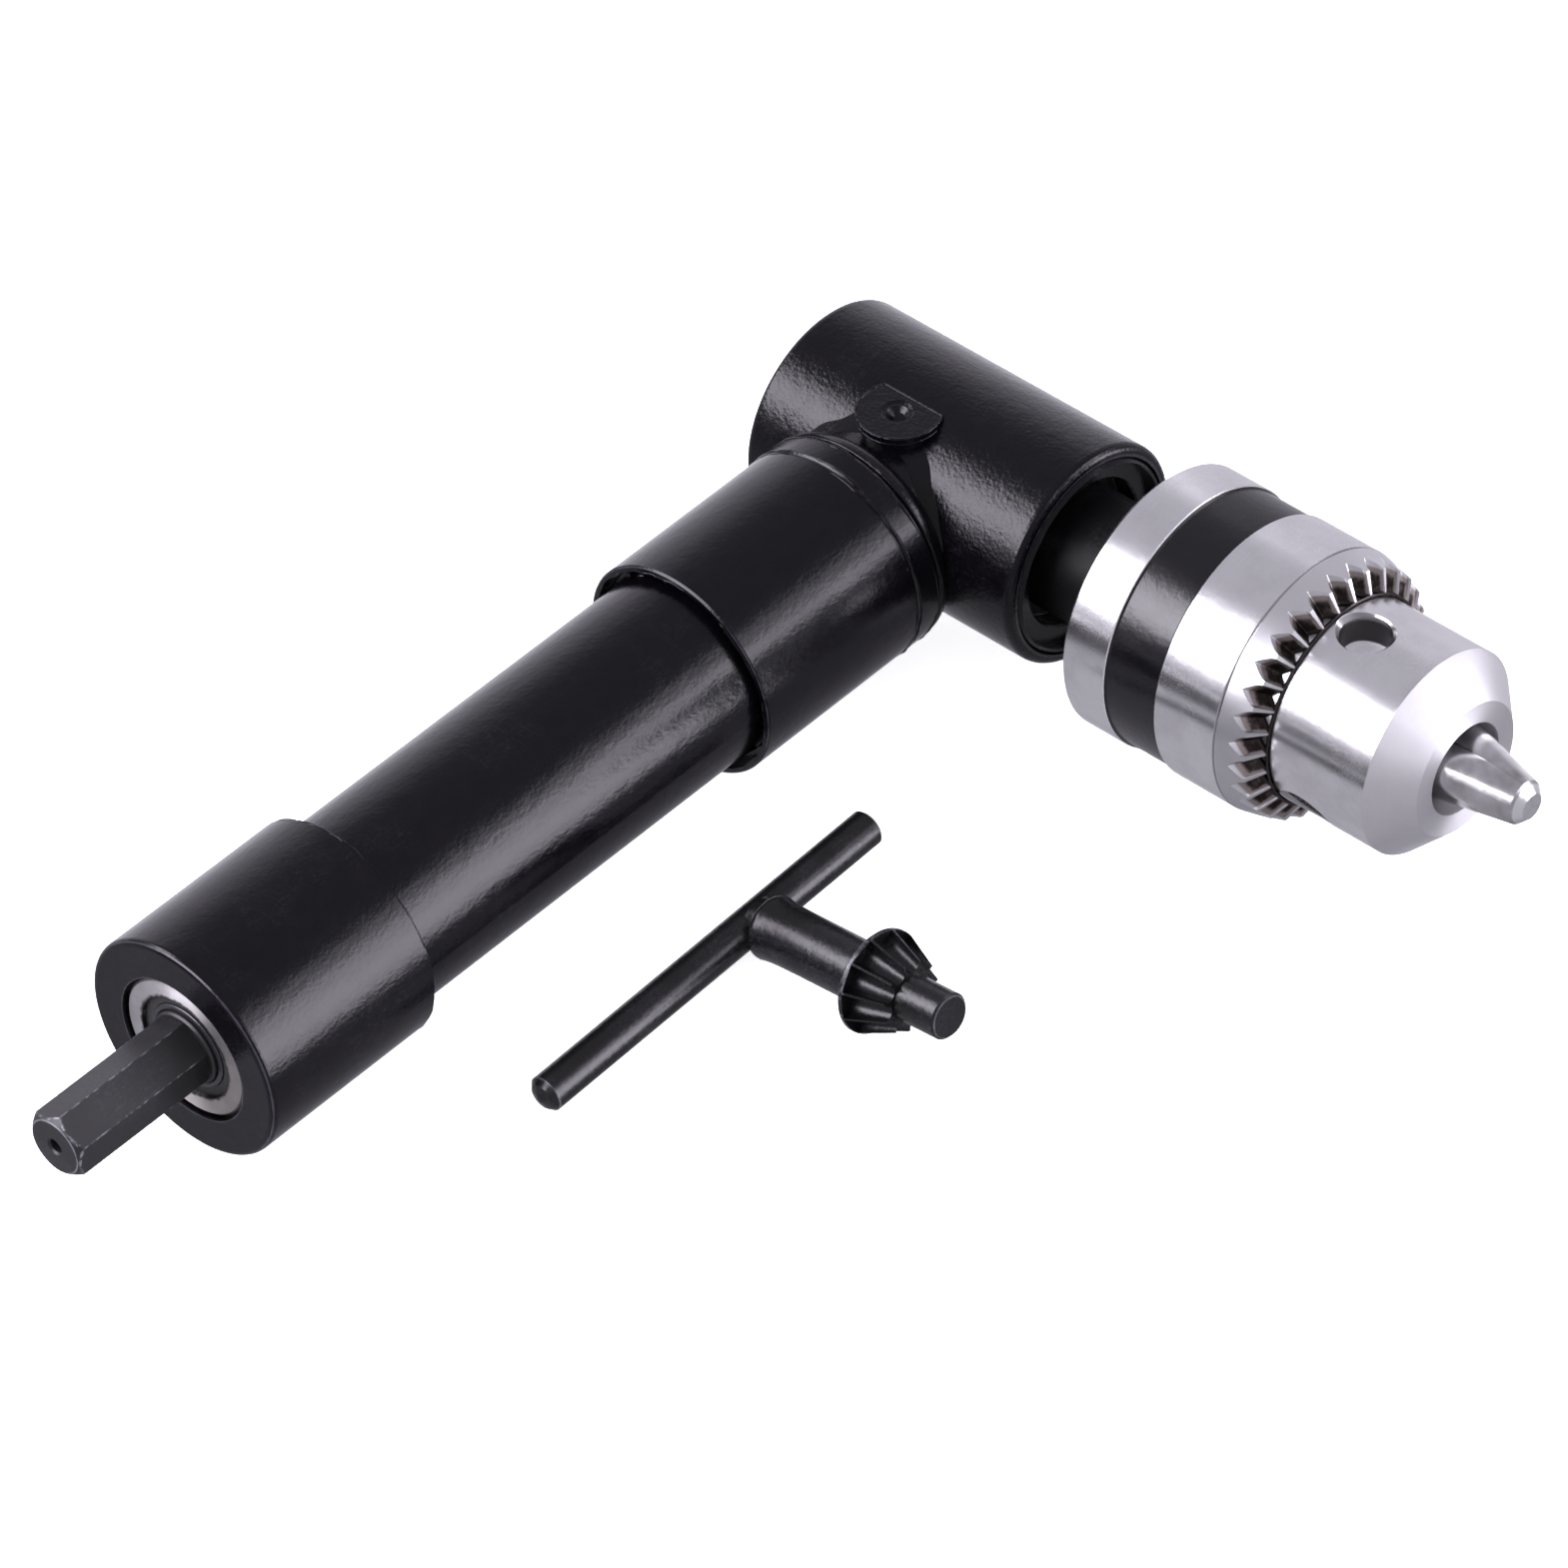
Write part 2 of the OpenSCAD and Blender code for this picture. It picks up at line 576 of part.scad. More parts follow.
// Shaft bearings
module rear_outer_ring() {
    color([0.72, 0.72, 0.74]) on_input()
        bearing_outer(rear_bearing_y, shaft_bearing_w, shaft_bearing_d, shaft_pitch_d, shaft_ball_d, shaft_lip);
}
module rear_inner_ring() {
    color([0.35, 0.35, 0.37]) on_input()
        bearing_inner(rear_bearing_y, shaft_bearing_w, shaft_seat_d, shaft_pitch_d, shaft_ball_d, shaft_lip,
                      inner_set);
}
module rear_balls() {
    color([0.8, 0.8, 0.82]) on_input()
        bearing_balls(rear_bearing_y, shaft_bearing_w, shaft_pitch_d, shaft_ball_d, shaft_balls);
}
module rear_cage() {
    color([0.70, 0.55, 0.25]) on_input()
        bearing_cage(rear_bearing_y, shaft_bearing_w, shaft_pitch_d, shaft_ball_d, shaft_balls, shaft_lip);
}
module rear_seal() {
    color([0.04, 0.04, 0.04]) on_input()
        sleeve_tube(shaft_pitch_d + 2 * shaft_lip, shaft_pitch_d - 2 * shaft_lip + 2 * run_gap,
                    rear_bearing_y + seal_set, seal_t);
}
module front_outer_ring() {
    color([0.72, 0.72, 0.74]) on_input()
        bearing_outer(front_bearing_y, shaft_bearing_w, shaft_bearing_d, shaft_pitch_d, shaft_ball_d, shaft_lip);
}
module front_inner_ring() {
    color([0.72, 0.72, 0.74]) on_input()
        bearing_inner(front_bearing_y, shaft_bearing_w, shaft_seat_d, shaft_pitch_d, shaft_ball_d, shaft_lip, 0);
}
module front_balls() {
    color([0.8, 0.8, 0.82]) on_input()
        bearing_balls(front_bearing_y, shaft_bearing_w, shaft_pitch_d, shaft_ball_d, shaft_balls);
}
module front_cage() {
    color([0.70, 0.55, 0.25]) on_input()
        bearing_cage(front_bearing_y, shaft_bearing_w, shaft_pitch_d, shaft_ball_d, shaft_balls, shaft_lip);
}

// Shaft with its hex shank
module hex_shaft() {
    corner = hex_flats / cos(30);
    hex_end = rear_bearing_y - seam_chamfer;
    seat_r = shaft_seat_d / 2;
    seat_end = front_bearing_y + shaft_bearing_w;
    color([0.20, 0.20, 0.22]) on_input() difference() {
        union() {
            intersection() {
                rotate([0, 0, -shank_turn]) cylinder(d = corner, h = hex_end, $fn = 6);
                lathe([[0, 0], [corner / 2 - shank_chamfer, 0], [corner / 2 + over, shank_chamfer + over],
                       [corner / 2 + over, hex_end + over], [0, hex_end + over]]);
            }
            lathe([[0, hex_end], [seat_r - seam_chamfer, hex_end], [seat_r, hex_end + seam_chamfer],
                   [seat_r, rear_seat_y], [shaft_body_d / 2, rear_seat_y],
                   [shaft_body_d / 2, front_bearing_y], [seat_r, front_bearing_y], [seat_r, seat_end],
                   [shaft_nose_d / 2, seat_end], [shaft_nose_d / 2, shaft_end()], [0, shaft_end()]]);
        }
        translate([0, 0, -over]) cylinder(d = centre_hole_d, h = centre_hole_depth + over);
        translate([0, 0, -over]) cylinder(d1 = centre_hole_d + 2 * (seam_chamfer + over), d2 = centre_hole_d,
                                       h = seam_chamfer + over);
        translate([0, 0, cross]) gear_pin_hole();
    }
}
function shaft_end() = cross - (gear_cone + gear_ded) * gear_inner_share + shaft_nose_gap;
module bevel_pinion() {
    color([0.45, 0.45, 0.48]) on_input() translate([0, 0, cross]) bevel(shaft_nose_d, 180 / gear_teeth);
}
module pinion_pin() { color([0.6, 0.6, 0.62]) on_input() translate([0, 0, cross]) gear_pin(); }

// Output spindle with its gear and bearings
module output_spindle() {
    tail = end_bearing_x + face_gap;
    step_r = spindle_d / 2 + spindle_step_wall;
    nose_end = chuck_back + nose_len;
    color([0.40, 0.40, 0.43]) on_output() difference() {
        lathe([[0, tail], [spindle_tail_d / 2, tail], [spindle_tail_d / 2, spindle_step],
               [step_r, spindle_step], [step_r, mouth_bearing_x], [spindle_d / 2, mouth_bearing_x],
               [spindle_d / 2, chuck_back - face_gap], [nose_thread_d / 2, chuck_back - face_gap],
               [nose_thread_d / 2, nose_end - nose_chamfer], [nose_thread_d / 2 - nose_chamfer, nose_end],
               [0, nose_end]]);
        gear_pin_hole();
    }
}
module bevel_gear() { color([0.45, 0.45, 0.48]) on_output() bevel(spindle_tail_d, -90); }
module gear_cross_pin() { color([0.6, 0.6, 0.62]) on_output() gear_pin(); }
module spindle_collar() {
    color([0.06, 0.06, 0.07]) on_output()
        lathe([[spindle_d / 2, mouth_seat_x], [mouth_pitch_d / 2 - mouth_lip, mouth_seat_x],
               [spindle_collar_d / 2, mouth_seat_x + seal_t + seam_chamfer],
               [spindle_collar_d / 2, chuck_back - collar_edge], [spindle_collar_d / 2 - collar_edge, chuck_back],
               [spindle_d / 2, chuck_back]]);
}
module end_outer_ring() {
    color([0.72, 0.72, 0.74]) on_output()
        bearing_outer(end_bearing_x, end_bearing_w, end_bearing_d, end_pitch_d, end_ball_d, end_lip);
}
module end_inner_ring() {
    color([0.72, 0.72, 0.74]) on_output()
        bearing_inner(end_bearing_x, end_bearing_w, spindle_tail_d, end_pitch_d, end_ball_d, end_lip, inner_set);
}
module end_ball_set() {
    color([0.8, 0.8, 0.82]) on_output()
        bearing_balls(end_bearing_x, end_bearing_w, end_pitch_d, end_ball_d, end_balls);
}
module end_cage() {
    color([0.70, 0.55, 0.25]) on_output()
        bearing_cage(end_bearing_x, end_bearing_w, end_pitch_d, end_ball_d, end_balls, end_lip);
}
module mouth_outer_ring() {
    color([0.72, 0.72, 0.74]) on_output()
        bearing_outer(mouth_bearing_x, mouth_bearing_w, mouth_bearing_d, mouth_pitch_d, mouth_ball_d,
                      mouth_lip);
}
module mouth_inner_ring() {
    color([0.72, 0.72, 0.74]) on_output()
        bearing_inner(mouth_bearing_x, mouth_bearing_w, spindle_d, mouth_pitch_d, mouth_ball_d, mouth_lip, 0);
}
module mouth_ball_set() {
    color([0.8, 0.8, 0.82]) on_output()
        bearing_balls(mouth_bearing_x, mouth_bearing_w, mouth_pitch_d, mouth_ball_d, mouth_balls);
}
module mouth_cage() {
    color([0.70, 0.55, 0.25]) on_output()
        bearing_cage(mouth_bearing_x, mouth_bearing_w, mouth_pitch_d, mouth_ball_d, mouth_balls, mouth_lip);
}
module mouth_seal() {
    color([0.04, 0.04, 0.04]) on_output()
        sleeve_tube(mouth_pitch_d + 2 * mouth_lip, mouth_pitch_d - 2 * mouth_lip + 2 * run_gap,
                    mouth_seat_x - seal_t - face_gap, seal_t);
}

// Chuck
module key_hole(i) {
    on_output() rotate([0, 0, chuck_turn + 180 + 120 * i]) translate([key_hole_floor, 0, key_hole_x])
        rotate([0, 90, 0]) {
            cylinder(d = key_hole_d, h = sleeve_r);
            translate([0, 0, chuck_nose_d / 2 - key_hole_floor - key_hole_chamfer])
                cylinder(d1 = key_hole_d, d2 = key_hole_d + 4 * key_hole_chamfer, h = key_hole_chamfer * 2);
        }
}
module jaw_bore(i) {
    back = (chuck_len - jaw_bore_wall) / cos(jaw_slope);
    on_jaw(i) translate([jaw_offset, 0, chuck_face]) rotate([0, -jaw_slope, 0])
        translate([0, 0, -back]) cylinder(r = jaw_d / 2 + run_gap, h = back + jaw_d);
}
module chuck_body() {
    nose_r = chuck_nose_d / 2;
    shoulder_x = nut_x - washer_t;
    front_x = nut_end + groove_room;
    color([0.78, 0.78, 0.80]) difference() {
        on_output() difference() {
            lathe([[0, chuck_back], [body_r - rear_chamfer * 2, chuck_back],
                   [body_r, chuck_back + rear_chamfer * 2], [body_r, shoulder_x], [core_r, shoulder_x],
                   [core_r, front_x], [nose_r, front_x], [nose_r, cone_x], [chuck_face_d / 2, chuck_face], [0, chuck_face]]);
            translate([0, 0, chuck_back - over])
                cylinder(d = nose_thread_d, h = nose_len + over + rear_chamfer);
            translate([0, 0, chuck_face - mouth_bore_depth])
                cylinder(d = chuck_mouth_d, h = mouth_bore_depth + over);
            translate([0, 0, chuck_back + nose_len + 4 * rear_chamfer])
                cylinder(d = drill_max + 2 * drill_clear, h = chuck_len - nose_len);
        }
        for (i = [0:2]) jaw_bore(i);
        for (i = [0:2]) key_hole(i);
    }
}
module tooth_slot() {
    reach = (root_r - mouth_r) / cos(root_slope) + over;
    deep = gap_depth * 2;
    wide = (gap_half - crest_land / 2) / gap_depth / (1 + flank_bow_share / 2);
    function half(t) = wide * deep * (t + flank_bow_share * t * (1 - t)) + crest_land / 2;
    translate([root_r, 0, root_x]) rotate([0, -90 + root_slope, 0]) translate([0, 0, -over * 3])
        linear_extrude(reach + over * 3)
            polygon(concat([for (t = flank_shares) [deep * t, -half(t)]],
                           [for (t = flank_back_shares) [deep * t, half(t)]]));
}
module chuck_sleeve() {
    r = sleeve_r;
    ring_x = sleeve_x + rear_ring_len;
    band_x = ring_x + band_len;
    color([0.80, 0.80, 0.82]) on_output() difference() {
        lathe([[sleeve_bore_r, sleeve_x], [r - rear_chamfer, sleeve_x], [r, sleeve_x + rear_chamfer],
               [r, ring_x - line_w], [r - band_depth, ring_x + line_w], [r - band_depth, band_x - line_w],
               [r, band_x + line_w], [r, line_x - line_w], [r - line_depth, line_x],
               [r - line_depth / 2, line_x + line_w], [crest_r, crest_x], [rim_r, sleeve_end], [mouth_r, sleeve_end], [mouth_r, nut_end], [nut_r, nut_end],
               [nut_r, nut_x - washer_t], [sleeve_bore_r, nut_x - washer_t]]);
        for (i = [0:sleeve_teeth - 1])
            rotate([0, 0, chuck_turn + 360 * (i + 0.5) / sleeve_teeth]) tooth_slot();
    }
}
module closing_nut() {
    color([0.35, 0.35, 0.37]) on_output() difference() {
        lathe([[jaw_out_r(nut_x) + run_gap, nut_x], [nut_r, nut_x], [nut_r, nut_end],
               [jaw_out_r(nut_end) + run_gap, nut_end]]);
        translate([-sleeve_r, -nut_slot / 2, nut_x - over]) cube([sleeve_d, nut_slot, nut_len + 2 * over]);
    }
}
module thrust_washer() {
    color([0.5, 0.5, 0.52]) on_output()
        sleeve_tube(2 * (nut_r - run_gap), 2 * (jaw_out_r(nut_x - washer_t) + run_gap),
                    nut_x - washer_t, washer_t);
}
module jaw(i) {
    back = (chuck_face - jaw_rear) / cos(jaw_slope);
    ahead = (jaw_reach + tip_r) / cos(jaw_slope);
    tip = jaw_gap / sin(60);
    wide = sleeve_d;
    color([0.60, 0.60, 0.62]) on_jaw(i) intersection() {
        translate([jaw_offset, 0, chuck_face]) rotate([0, -jaw_slope, 0])
            translate([0, 0, -back]) cylinder(d = jaw_d, h = back + ahead);
        translate([0, 0, jaw_rear - jaw_d]) linear_extrude(jaw_tip - jaw_rear + jaw_d)
            polygon([[tip, 0], [tip + wide, wide * tan(60)], [tip + wide, -wide * tan(60)]]);
        lathe([[0, jaw_rear - jaw_d], [sleeve_r, jaw_rear - jaw_d], [sleeve_r, jaw_tip - sleeve_r],
               [tip_r + tip_chamfer, jaw_tip - tip_chamfer], [tip_r, jaw_tip], [0, jaw_tip]]);
        translate([-jaw_open, 0, jaw_rear - jaw_d])
            cylinder(r = sleeve_bore_r - 2 * run_gap, h = jaw_tip - jaw_rear + jaw_d);
    }
}
module jaw_1() { jaw(0); }
module jaw_2() { jaw(1); }
module jaw_3() { jaw(2); }

// Chuck key
module key_bar() {
    color([0.11, 0.11, 0.12]) on_key() difference() {
        translate([0, -bar_long, 0]) rotate([-90, 0, 0]) {
            full = bar_long + bar_short;
            lathe([[0, -bar_point], [bar_d / 2 - bar_chamfer, 0], [bar_d / 2, bar_chamfer],
                   [bar_d / 2, full - bar_chamfer / 2], [bar_d / 2 - bar_chamfer / 2, full], [0, full]]);
        }
        rotate([0, 90, 0]) translate([0, 0, bar_d / 2 - tenon_len]) cylinder(d = tenon_d, h = bar_d);
    }
}
module pinion_cut() {
    start = stem_len + flange_t;
    run = pinion_len - flange_t + over;
    drop = (pinion_floor_big + pinion_cut_big) - (pinion_floor_small + pinion_cut_small);
    slope = atan(drop / run);
    translate([pinion_floor_big + pinion_cut_big, 0, start]) rotate([0, -slope, 0])
        cylinder(r1 = pinion_cut_big, r2 = pinion_cut_small, h = run / cos(slope));
}
module key_stem() {
    front = stem_len + pinion_len;
    end = front + pilot_len;
    start = stem_saddle;
    color([0.11, 0.11, 0.12]) on_key() rotate([0, 90, 0]) difference() {
        union() {
            lathe([[0, start], [stem_d / 2 - stem_neck, start], [stem_d / 2 - stem_neck, bar_d / 2 + stem_neck / 2],
                   [stem_d / 2, bar_d / 2 + stem_neck * 1.5], [stem_d / 2, stem_len],
                   [pinion_d / 2 - seam_chamfer, stem_len], [pinion_d / 2, stem_len + seam_chamfer],
                   [pinion_d / 2, stem_len + flange_t], [pinion_nose_d / 2, front], [pilot_d / 2, front],
                   [pilot_d / 2, end - pilot_chamfer], [pilot_d / 2 - pilot_chamfer, end], [0, end]]);
        }
        for (i = [0:pinion_teeth - 1]) rotate([0, 0, 360 * i / pinion_teeth]) pinion_cut();
        rotate([90, 0, 0]) translate([0, 0, -stem_d]) cylinder(d = bar_d, h = 2 * stem_d);
    }
    color([0.11, 0.11, 0.12]) on_key() rotate([0, 90, 0]) translate([0, 0, bar_d / 2 - tenon_len])
        cylinder(d = tenon_d, h = tenon_len + stem_neck);
}

head_housing();
lock_ring();
front_collar();
middle_tube();
rear_collar();
mouth_ring();
neck_circlip();
rear_outer_ring();
rear_seal();
front_outer_ring();
end_outer_ring();
mouth_outer_ring();
mouth_seal();
hex_shaft();
rear_inner_ring();
front_inner_ring();
bevel_pinion();
pinion_pin();
rear_balls();
rear_cage();
front_balls();
front_cage();
output_spindle();
spindle_collar();
bevel_gear();
gear_cross_pin();
end_inner_ring();
mouth_inner_ring();
chuck_body();
thrust_washer();
end_ball_set();
end_cage();
mouth_ball_set();
mouth_cage();
chuck_sleeve();
closing_nut();
jaw_1();
jaw_2();
jaw_3();
key_bar();
key_stem();
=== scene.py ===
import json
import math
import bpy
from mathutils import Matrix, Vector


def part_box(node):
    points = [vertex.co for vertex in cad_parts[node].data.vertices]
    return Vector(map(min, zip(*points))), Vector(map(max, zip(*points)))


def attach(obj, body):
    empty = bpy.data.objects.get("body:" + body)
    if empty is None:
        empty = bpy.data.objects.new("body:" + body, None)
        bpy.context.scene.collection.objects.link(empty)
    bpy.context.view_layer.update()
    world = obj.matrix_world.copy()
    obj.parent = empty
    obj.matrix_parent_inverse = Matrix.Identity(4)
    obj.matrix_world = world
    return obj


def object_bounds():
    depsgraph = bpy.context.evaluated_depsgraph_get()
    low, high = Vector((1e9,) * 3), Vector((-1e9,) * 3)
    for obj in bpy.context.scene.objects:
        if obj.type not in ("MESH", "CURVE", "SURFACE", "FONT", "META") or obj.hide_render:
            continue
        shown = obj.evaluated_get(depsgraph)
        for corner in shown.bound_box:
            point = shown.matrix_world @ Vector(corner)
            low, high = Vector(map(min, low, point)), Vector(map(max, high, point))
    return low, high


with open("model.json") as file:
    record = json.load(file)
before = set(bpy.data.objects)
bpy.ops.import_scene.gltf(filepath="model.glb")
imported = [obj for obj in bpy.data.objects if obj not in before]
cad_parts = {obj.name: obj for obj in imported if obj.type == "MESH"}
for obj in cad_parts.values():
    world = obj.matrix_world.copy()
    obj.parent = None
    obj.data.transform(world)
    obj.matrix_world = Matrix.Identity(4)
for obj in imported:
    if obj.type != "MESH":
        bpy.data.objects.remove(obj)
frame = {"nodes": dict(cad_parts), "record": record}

# Right angle drill attachment with its keyed chuck and loose key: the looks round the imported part.
# Frame, as in the part: the origin is the centre of the shank's end face, the input axis is +Y,
# the output axis is +X through (0, CROSS, 0), and +Z is up. Lengths are in metres.

from types import SimpleNamespace

import bpy
import numpy as np
from mathutils import Matrix, Vector

MM = 0.001
cad_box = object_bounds()
nodes = frame["nodes"]


def mount_place(name):
    """Where the record puts one of the part's mounts."""
    return next(mount["pos_m"] for mount in frame["record"]["mounts"] if mount["name"] == name)


# Places that the part's own mounts and boxes give
CROSS = mount_place("jaw_grip")[1]
LUG_TOP = mount_place("lug_top")[2]
COLLAR_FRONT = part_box("rear_collar")[1].y
COLLAR_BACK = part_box("rear_collar")[0].y
COLLAR_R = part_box("rear_collar")[1].z
TUBE_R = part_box("middle_tube")[1].z
FRONT_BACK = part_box("front_collar")[0].y
FRONT_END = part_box("front_collar")[1].y
FRONT_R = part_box("front_collar")[1].z
RING_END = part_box("lock_ring")[1].y
HEAD_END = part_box("head_housing")[0].x
HEAD_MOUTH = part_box("head_housing")[1].x
HEAD_R = -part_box("head_housing")[0].z
SLEEVE_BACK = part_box("chuck_sleeve")[0].x
SLEEVE_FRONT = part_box("chuck_sleeve")[1].x
SLEEVE_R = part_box("chuck_sleeve")[1].z
FACE_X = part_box("chuck_body")[1].x
JAW_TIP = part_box("jaw_1")[1].x
BENCH = cad_box[0][2]

# Smaller sizes of the part, from its source
HEX_END, HEX_FLAT, HEX_TURN = COLLAR_BACK - 1.0 * MM, 4.0 * MM, -7.5
RECESS_FLOOR = FRONT_BACK + 1.6 * MM
NECK_R = 12.3 * MM
NOSE_R = SLEEVE_R - 4.0 * MM
CONE_START = FACE_X - 4.7 * MM
LUG_CENTRE, LUG_R, LUG_CHORD = CROSS - 6.7 * MM, 5.4 * MM, 2.6 * MM
BAR_R, BAR_LOW_END = 2.4 * MM, 37.2 * MM
STEM_R = 3.81 * MM

# Camera fitted to the photograph
AZIMUTH, ELEVATION, ROLL = 45.337, 43.041, -3.842
CAMERA_PLACE = (0.65280, CROSS - 0.67596, 0.82645)
FOCAL_PIXELS, FRAME_PIXELS, SENSOR = 10147.5, 1569, 36.0


class Wiring:
    """Adds nodes to one tree. An input is fed by a socket, which is linked, or by a plain value."""

    def __init__(self, tree):
        self.tree = tree

    def feed(self, socket, value):
        if isinstance(value, bpy.types.NodeSocket):
            self.tree.links.new(value, socket)
        else:
            socket.default_value = value

    def add(self, kind, feeds=None, **settings):
        node = self.tree.nodes.new(kind)
        for key, value in settings.items():
            setattr(node, key, value)
        for key, value in (feeds or {}).items():
            self.feed(node.inputs[key], value)
        return node

    def math(self, operation, a, b=0.0, clamp=False):
        return self.add("ShaderNodeMath", {0: a, 1: b}, operation=operation, use_clamp=clamp).outputs[0]

    def times(self, a, b):
        return self.math("MULTIPLY", a, b)

    def plus(self, a, b):
        return self.math("ADD", a, b)

    def less(self, a, b):
        """What is left of a when b is taken away."""
        return self.math("SUBTRACT", a, b)

    def most(self, a, b):
        return self.math("MAXIMUM", a, b)

    def least(self, a, b):
        return self.math("MINIMUM", a, b)

    def soft(self, value, low, high):
        """0 below low, 1 above high and smooth between; high may be under low."""
        feeds = {"Value": value, "From Min": low, "From Max": high}
        return self.add("ShaderNodeMapRange", feeds, interpolation_type="SMOOTHSTEP").outputs[0]

    def line(self, value, low, high, at_low, at_high):
        """A straight slope from at_low, at low, to at_high, at high."""
        feeds = {"Value": value, "From Min": low, "From Max": high, "To Min": at_low, "To Max": at_high}
        return self.add("ShaderNodeMapRange", feeds).outputs[0]

    def band(self, value, low, high, edge):
        """1 between low and high, with soft edges that lie inside."""
        return self.times(self.soft(value, low, low + edge), self.soft(value, high, high - edge))

    def noise(self, vector, scale, detail=2.0, rough=0.5):
        """A noise from 0 to 1; scale is its number of cells in a metre."""
        feeds = {"Vector": vector, "Scale": scale, "Detail": detail, "Roughness": rough}
        return self.add("ShaderNodeTexNoise", feeds).outputs["Fac"]

    def colour(self, share, a, b):
        """Colour a where share is 0 and b where it is 1."""
        node = self.add("ShaderNodeMix", data_type="RGBA")
        self.feed(node.inputs[0], share)
        self.feed(node.inputs[6], a)
        self.feed(node.inputs[7], b)
        return node.outputs[2]

    def value(self, share, a, b):
        """Value a where share is 0 and b where it is 1."""
        return self.add("ShaderNodeMix", {0: share, 2: a, 3: b}, data_type="FLOAT").outputs[0]

    def group(self, tree, feeds):
        node = self.add("ShaderNodeGroup", node_tree=tree)
        for key, value in feeds.items():
            self.feed(node.inputs[key], value)
        return node.outputs

    def object_place(self):
        return self.add("ShaderNodeTexCoord").outputs["Object"]


def new_group(name, inputs, outputs):
    """An empty node group with named sockets, each (name, kind, default).

    Returns its tree, its wiring, what comes in and what goes out.
    """
    tree = bpy.data.node_groups.new(name, "ShaderNodeTree")
    for label, kind, default in inputs:
        socket = tree.interface.new_socket(name=label, in_out="INPUT", socket_type=kind)
        if default is not None:
            socket.default_value = default
    for label, kind in outputs:
        tree.interface.new_socket(name=label, in_out="OUTPUT", socket_type=kind)
    wiring = Wiring(tree)
    return tree, wiring, wiring.add("NodeGroupInput").outputs, wiring.add("NodeGroupOutput").inputs


FLOAT, VECTOR = "NodeSocketFloat", "NodeSocketVector"


def group_round_place():
    """Distance along X and about X, and along Y and about Y, of a place in a turned piece's own frame."""
    tree, w, ins, outs = new_group("round_place", [("Vector", VECTOR, None)],
                                   [("Along X", FLOAT), ("About X", FLOAT), ("Along Y", FLOAT), ("About Y", FLOAT)])
    xyz = w.add("ShaderNodeSeparateXYZ", {"Vector": ins["Vector"]}).outputs
    squares = [w.times(xyz[i], xyz[i]) for i in range(3)]
    w.feed(outs["Along X"], xyz[0])
    w.feed(outs["About X"], w.math("SQRT", w.plus(squares[1], squares[2])))
    w.feed(outs["Along Y"], xyz[1])
    w.feed(outs["About Y"], w.math("SQRT", w.plus(squares[0], squares[2])))
    return tree


def group_rim():
    """A broken bright line along a circle, where the finish is rubbed through, and on enamel also a painted edge
    highlight: nearness less a coarse noise.
    """
    inputs = [("Vector", VECTOR, None), ("Along", FLOAT, 0.0), ("About", FLOAT, 0.0), ("At", FLOAT, 0.0),
              ("Radius", FLOAT, 0.0), ("Width", FLOAT, 0.3 * MM), ("Broken", FLOAT, 0.5)]
    tree, w, ins, outs = new_group("rim_wear", inputs, [("Mask", FLOAT)])
    off_along = w.less(ins["Along"], ins["At"])
    off_radius = w.less(ins["About"], ins["Radius"])
    far = w.math("SQRT", w.plus(w.times(off_along, off_along), w.times(off_radius, off_radius)))
    uneven = w.times(w.noise(ins["Vector"], 420.0, 3.0, 0.6), ins["Broken"])
    near = w.less(1.0, w.math("DIVIDE", far, ins["Width"]))
    w.feed(outs["Mask"], w.soft(w.less(near, uneven), 0.0, 0.35))
    return tree


def group_peel():
    """Orange peel of sprayed enamel: a fine and a coarse noise as height, in metres, and the coarse one as a tone."""
    inputs = [("Vector", VECTOR, None), ("Fine", FLOAT, 0.004 * MM), ("Coarse", FLOAT, 0.02 * MM)]
    tree, w, ins, outs = new_group("orange_peel", inputs, [("Height", FLOAT), ("Tone", FLOAT)])
    fine = w.noise(ins["Vector"], 2000.0, 3.0, 0.6)
    coarse = w.noise(ins["Vector"], 620.0, 2.0, 0.45)
    w.feed(outs["Height"], w.plus(w.times(fine, ins["Fine"]), w.times(coarse, ins["Coarse"])))
    w.feed(outs["Tone"], coarse)
    return tree


def group_specks():
    """Small dust specks and pits, 0.1 to 0.3 mm across: the middles of cells, kept where a noise is high."""
    inputs = [("Vector", VECTOR, None), ("Scale", FLOAT, 900.0), ("Amount", FLOAT, 0.5)]
    tree, w, ins, outs = new_group("specks", inputs, [("Mask", FLOAT)])
    cell = w.add("ShaderNodeTexVoronoi", {"Vector": ins["Vector"], "Scale": ins["Scale"]}).outputs
    dot = w.soft(cell["Distance"], 0.22, 0.08)
    kept_from = w.less(0.86, w.times(ins["Amount"], 0.3))
    chosen = w.soft(w.noise(ins["Vector"], 260.0, 3.0, 0.7), kept_from, 0.9)
    w.feed(outs["Mask"], w.times(dot, chosen))
    return tree


